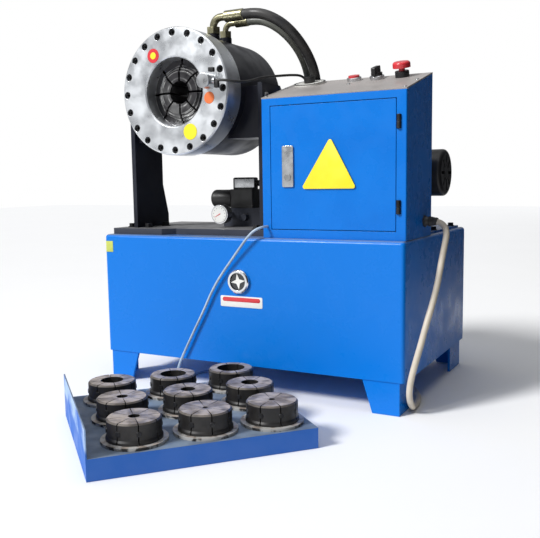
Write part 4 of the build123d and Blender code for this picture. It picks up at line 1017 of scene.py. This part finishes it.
class CordSet:
    """All cords and hoses of the machine."""

    def __init__(self, palette: Palette) -> None:
        """Keep the finishes and lay out the plans."""
        self.palette = palette
        mains = list(MAINS_ROUTE) + coil_turns((0.200, 0.4309), 0, 1, MAINS_KEYS)
        mains += lead_in(mains[-1], (0.112, 0.4309, 0.014), 0.70)
        pedal = list(PEDAL_ROUTE) + coil_turns((-0.110, 0.3529), 180, -1, PEDAL_KEYS)
        pedal += lead_in(pedal[-1], (-0.070, 0.3529, 0.010), 0.5)
        self.plans = (
            CordPlan("close_hose_line", 0.024, 0.574, "hose", "hose_rubber", ("close_hose",), "object",
                     "stiff", "hanging", CLOSE_HOSE),
            CordPlan("open_hose_line", 0.019, 0.542, "thin_hose", "hose_rubber", ("open_hose",), "object",
                     "stiff", "hanging", OPEN_HOSE),
            CordPlan("probe_cord_line", 0.006, 0.391, "dark_cord", "black_plastic", ("probe_cord",),
                     "object", "medium", "hanging", PROBE_CORD),
            CordPlan("valve_cord_line", 0.008, 0.304, "dark_cord", "black_plastic", ("valve_cord",),
                     "object", "medium", "hanging", VALVE_CORD),
            CordPlan("mains_lead", 0.014, 1.92, "mains", "cable_grey", ("mains_cable", "mains_coil"),
                     "plug", "medium", "coiled", tuple(mains), ("mains_plug",)),
            CordPlan("pedal_lead", 0.006, 1.35, "thin", "cord_blue", ("pedal_cord", "pedal_coil"),
                     "object", "limp", "coiled", tuple(pedal)),
        )

    def lay(self, plan: CordPlan) -> None:
        curve = bpy.data.curves.new(plan.name, "CURVE")
        curve.dimensions = "3D"
        curve.resolution_u = 6
        curve.bevel_depth = plan.diameter / 2
        curve.bevel_resolution = 5
        curve.use_fill_caps = True
        spline = curve.splines.new("NURBS")
        spline.points.add(len(plan.route) - 1)
        for point, place in zip(spline.points, plan.route):
            point.co = (*place, 1.0)
        spline.order_u = 3
        spline.use_endpoint_u = True
        curve.materials.append(getattr(self.palette, plan.material))
        piece = new_object(plan.name, curve)
        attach(piece, "machine")
        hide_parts(*plan.nodes)
        LOG.info("%s length %.4f", plan.name, spline.calc_length())

    def build(self) -> None:
        """Lay every cord and dress the pieces on them."""
        p = self.palette
        for plan in self.plans:
            self.lay(plan)
        dress(p.black, "mains_plug", "foot_switch", "foot_pedal")
        sleeve = [(0.0068, 0.0), (0.0112, 0.0), (0.0112, 0.004), (0.0104, 0.005), (0.0104, 0.008),
                  (0.0096, 0.009), (0.0096, 0.012), (0.0088, 0.013), (0.0088, 0.017), (0.0078, 0.020),
                  (0.0068, 0.020)]
        Bench.lathe("strain_relief", sleeve, Bench.axes(MAINS_ROUTE[0], RIGHT, (0, 1, 0)), p.black,
                    "machine", "black_plastic", 32)


# ------------------------------------------------------------------ studio
@dataclass
class Studio:
    """Camera, lights, floor and backdrop."""

    place: Point = (0.87827, -1.47004, 0.50674)
    yaw: float = 0.49
    pitch: float = 0.118
    roll: float = -0.015
    lens: float = 49.71
    sun: float = 3.3
    sun_way: Point = (0.42, 0.66, -0.62)
    top_watts: float = 14.0
    floor_half: float = 12.0
    sky: float = 0.42

    def camera(self) -> None:
        """Set the camera."""
        data = bpy.data.cameras.new("camera")
        data.lens = self.lens
        data.sensor_width = 36
        data.sensor_fit = "HORIZONTAL"
        forward = Vector((-math.sin(self.yaw) * math.cos(self.pitch),
                          math.cos(self.yaw) * math.cos(self.pitch), -math.sin(self.pitch)))
        right = Vector((math.cos(self.yaw), math.sin(self.yaw), 0))
        up = right.cross(forward)
        tilted = right * math.cos(self.roll) + up * math.sin(self.roll)
        upright = up * math.cos(self.roll) - right * math.sin(self.roll)
        matrix = Matrix((tilted, upright, -forward)).transposed().to_4x4()
        matrix.translation = Vector(self.place)
        item = new_object("camera", data)
        item.matrix_world = matrix
        bpy.context.scene.camera = item

    def lamp(self, name: str, place: Point, target: Point, size: float, watts: float) -> None:
        """Set an area lamp that looks at a point."""
        data = bpy.data.lights.new(name, "AREA")
        data.shape = "DISK"
        data.size = size
        data.energy = watts
        item = new_object(name, data)
        item.location = place
        item.rotation_euler = (Vector(target) - Vector(place)).to_track_quat("-Z", "Y").to_euler()

    def world(self) -> None:
        """White to the camera and through transmission, softer as a light and in reflections."""
        world = bpy.data.worlds.new("studio_world")
        world.use_nodes = True
        bpy.context.scene.world = world
        tree = world.node_tree
        tree.nodes.clear()
        output = tree.nodes.new("ShaderNodeOutputWorld")
        mix = tree.nodes.new("ShaderNodeMixShader")
        path = tree.nodes.new("ShaderNodeLightPath")
        seen = tree.nodes.new("ShaderNodeBackground")
        light = tree.nodes.new("ShaderNodeBackground")
        seen.inputs["Color"].default_value = (1, 1, 1, 1)
        light.inputs["Color"].default_value = (0.95, 0.97, 1, 1)
        light.inputs["Strength"].default_value = self.sky
        either = tree.nodes.new("ShaderNodeMath")
        either.operation = "MAXIMUM"
        tree.links.new(path.outputs["Is Camera Ray"], either.inputs[0])
        tree.links.new(path.outputs["Is Transmission Ray"], either.inputs[1])
        tree.links.new(either.outputs[0], mix.inputs[0])
        tree.links.new(light.outputs[0], mix.inputs[1])
        tree.links.new(seen.outputs[0], mix.inputs[2])
        tree.links.new(mix.outputs[0], output.inputs["Surface"])

    def card(self, name: str, tones: tuple[Colour, Colour], roughness: float, corners: Sequence[Point],
             faces: Sequence[tuple[int, ...]]) -> Item:
        """A plain matt card that isn't part of the machine.

        Args:
            name: The card's name; its finish takes it too.
            tones: The two colours that it mottles between.
            roughness: Its roughness.
            corners: Its corner points.
            faces: Corner numbers of each face.

        Returns:
            The new object.
        """
        shop = Shop(f"{name}_finish")
        shop.link(shop.mix(*tones, shop.noise(2.0)), shop.shader.inputs["Base Color"])
        shop.shader.inputs["Roughness"].default_value = roughness
        mesh = bpy.data.meshes.new(name)
        mesh.from_pydata(corners, [], faces)
        mesh.materials.append(shop.material)
        item = new_object(name, mesh)
        return item

    def cards(self) -> None:
        """A pale floor, and a dark card on the right that keeps the side panels deep."""
        half = self.floor_half
        z = -0.0004
        self.card("floor", (rgb(250, 250, 250), rgb(247, 247, 247)), 0.8,
                  [(-half, -half, z), (half, -half, z), (half, half, z), (-half, half, z)],
                  [(0, 1, 2, 3)])
        near, far, top, low = -1.0, 9.0, 2.4, 0.001
        flag = self.card("flag", (rgb(24, 26, 32), rgb(34, 36, 42)), 0.9,
                         [(1.25, near, low), (1.25, far, low), (1.25, far, top), (1.25, near, top),
                          (0.74, 0.2, low), (0.74, far, low)], [(0, 1, 2, 3), (0, 1, 5, 4)])
        flag.visible_camera = False

    def key(self) -> None:
        """A broad, even key light from the front left."""
        data = bpy.data.lights.new("key", "SUN")
        data.energy = self.sun
        data.angle = math.radians(14)
        item = new_object("key", data)
        item.rotation_euler = Vector(self.sun_way).to_track_quat("-Z", "Y").to_euler()

    def build(self) -> None:
        """Set up the whole studio."""
        bpy.context.scene.view_settings.view_transform = "Standard"
        self.camera()
        self.world()
        self.cards()
        self.key()
        self.lamp("top", (0.2, -0.2, 3.0), (0.0, 0.1, 0.4), 2.2, self.top_watts)


def main() -> None:
    """Build the machine and its studio."""
    logging.basicConfig(level=logging.INFO)
    palette = Palette()
    studs = StudTree()
    Studio().build()
    CordSet(palette).build()
    for unit in (TankUnit, HeadUnit, CabinetUnit, HydraulicsUnit, MotorUnit, DieSetUnit):
        unit(palette, studs).build()


if __name__ == "__main__":
    main()
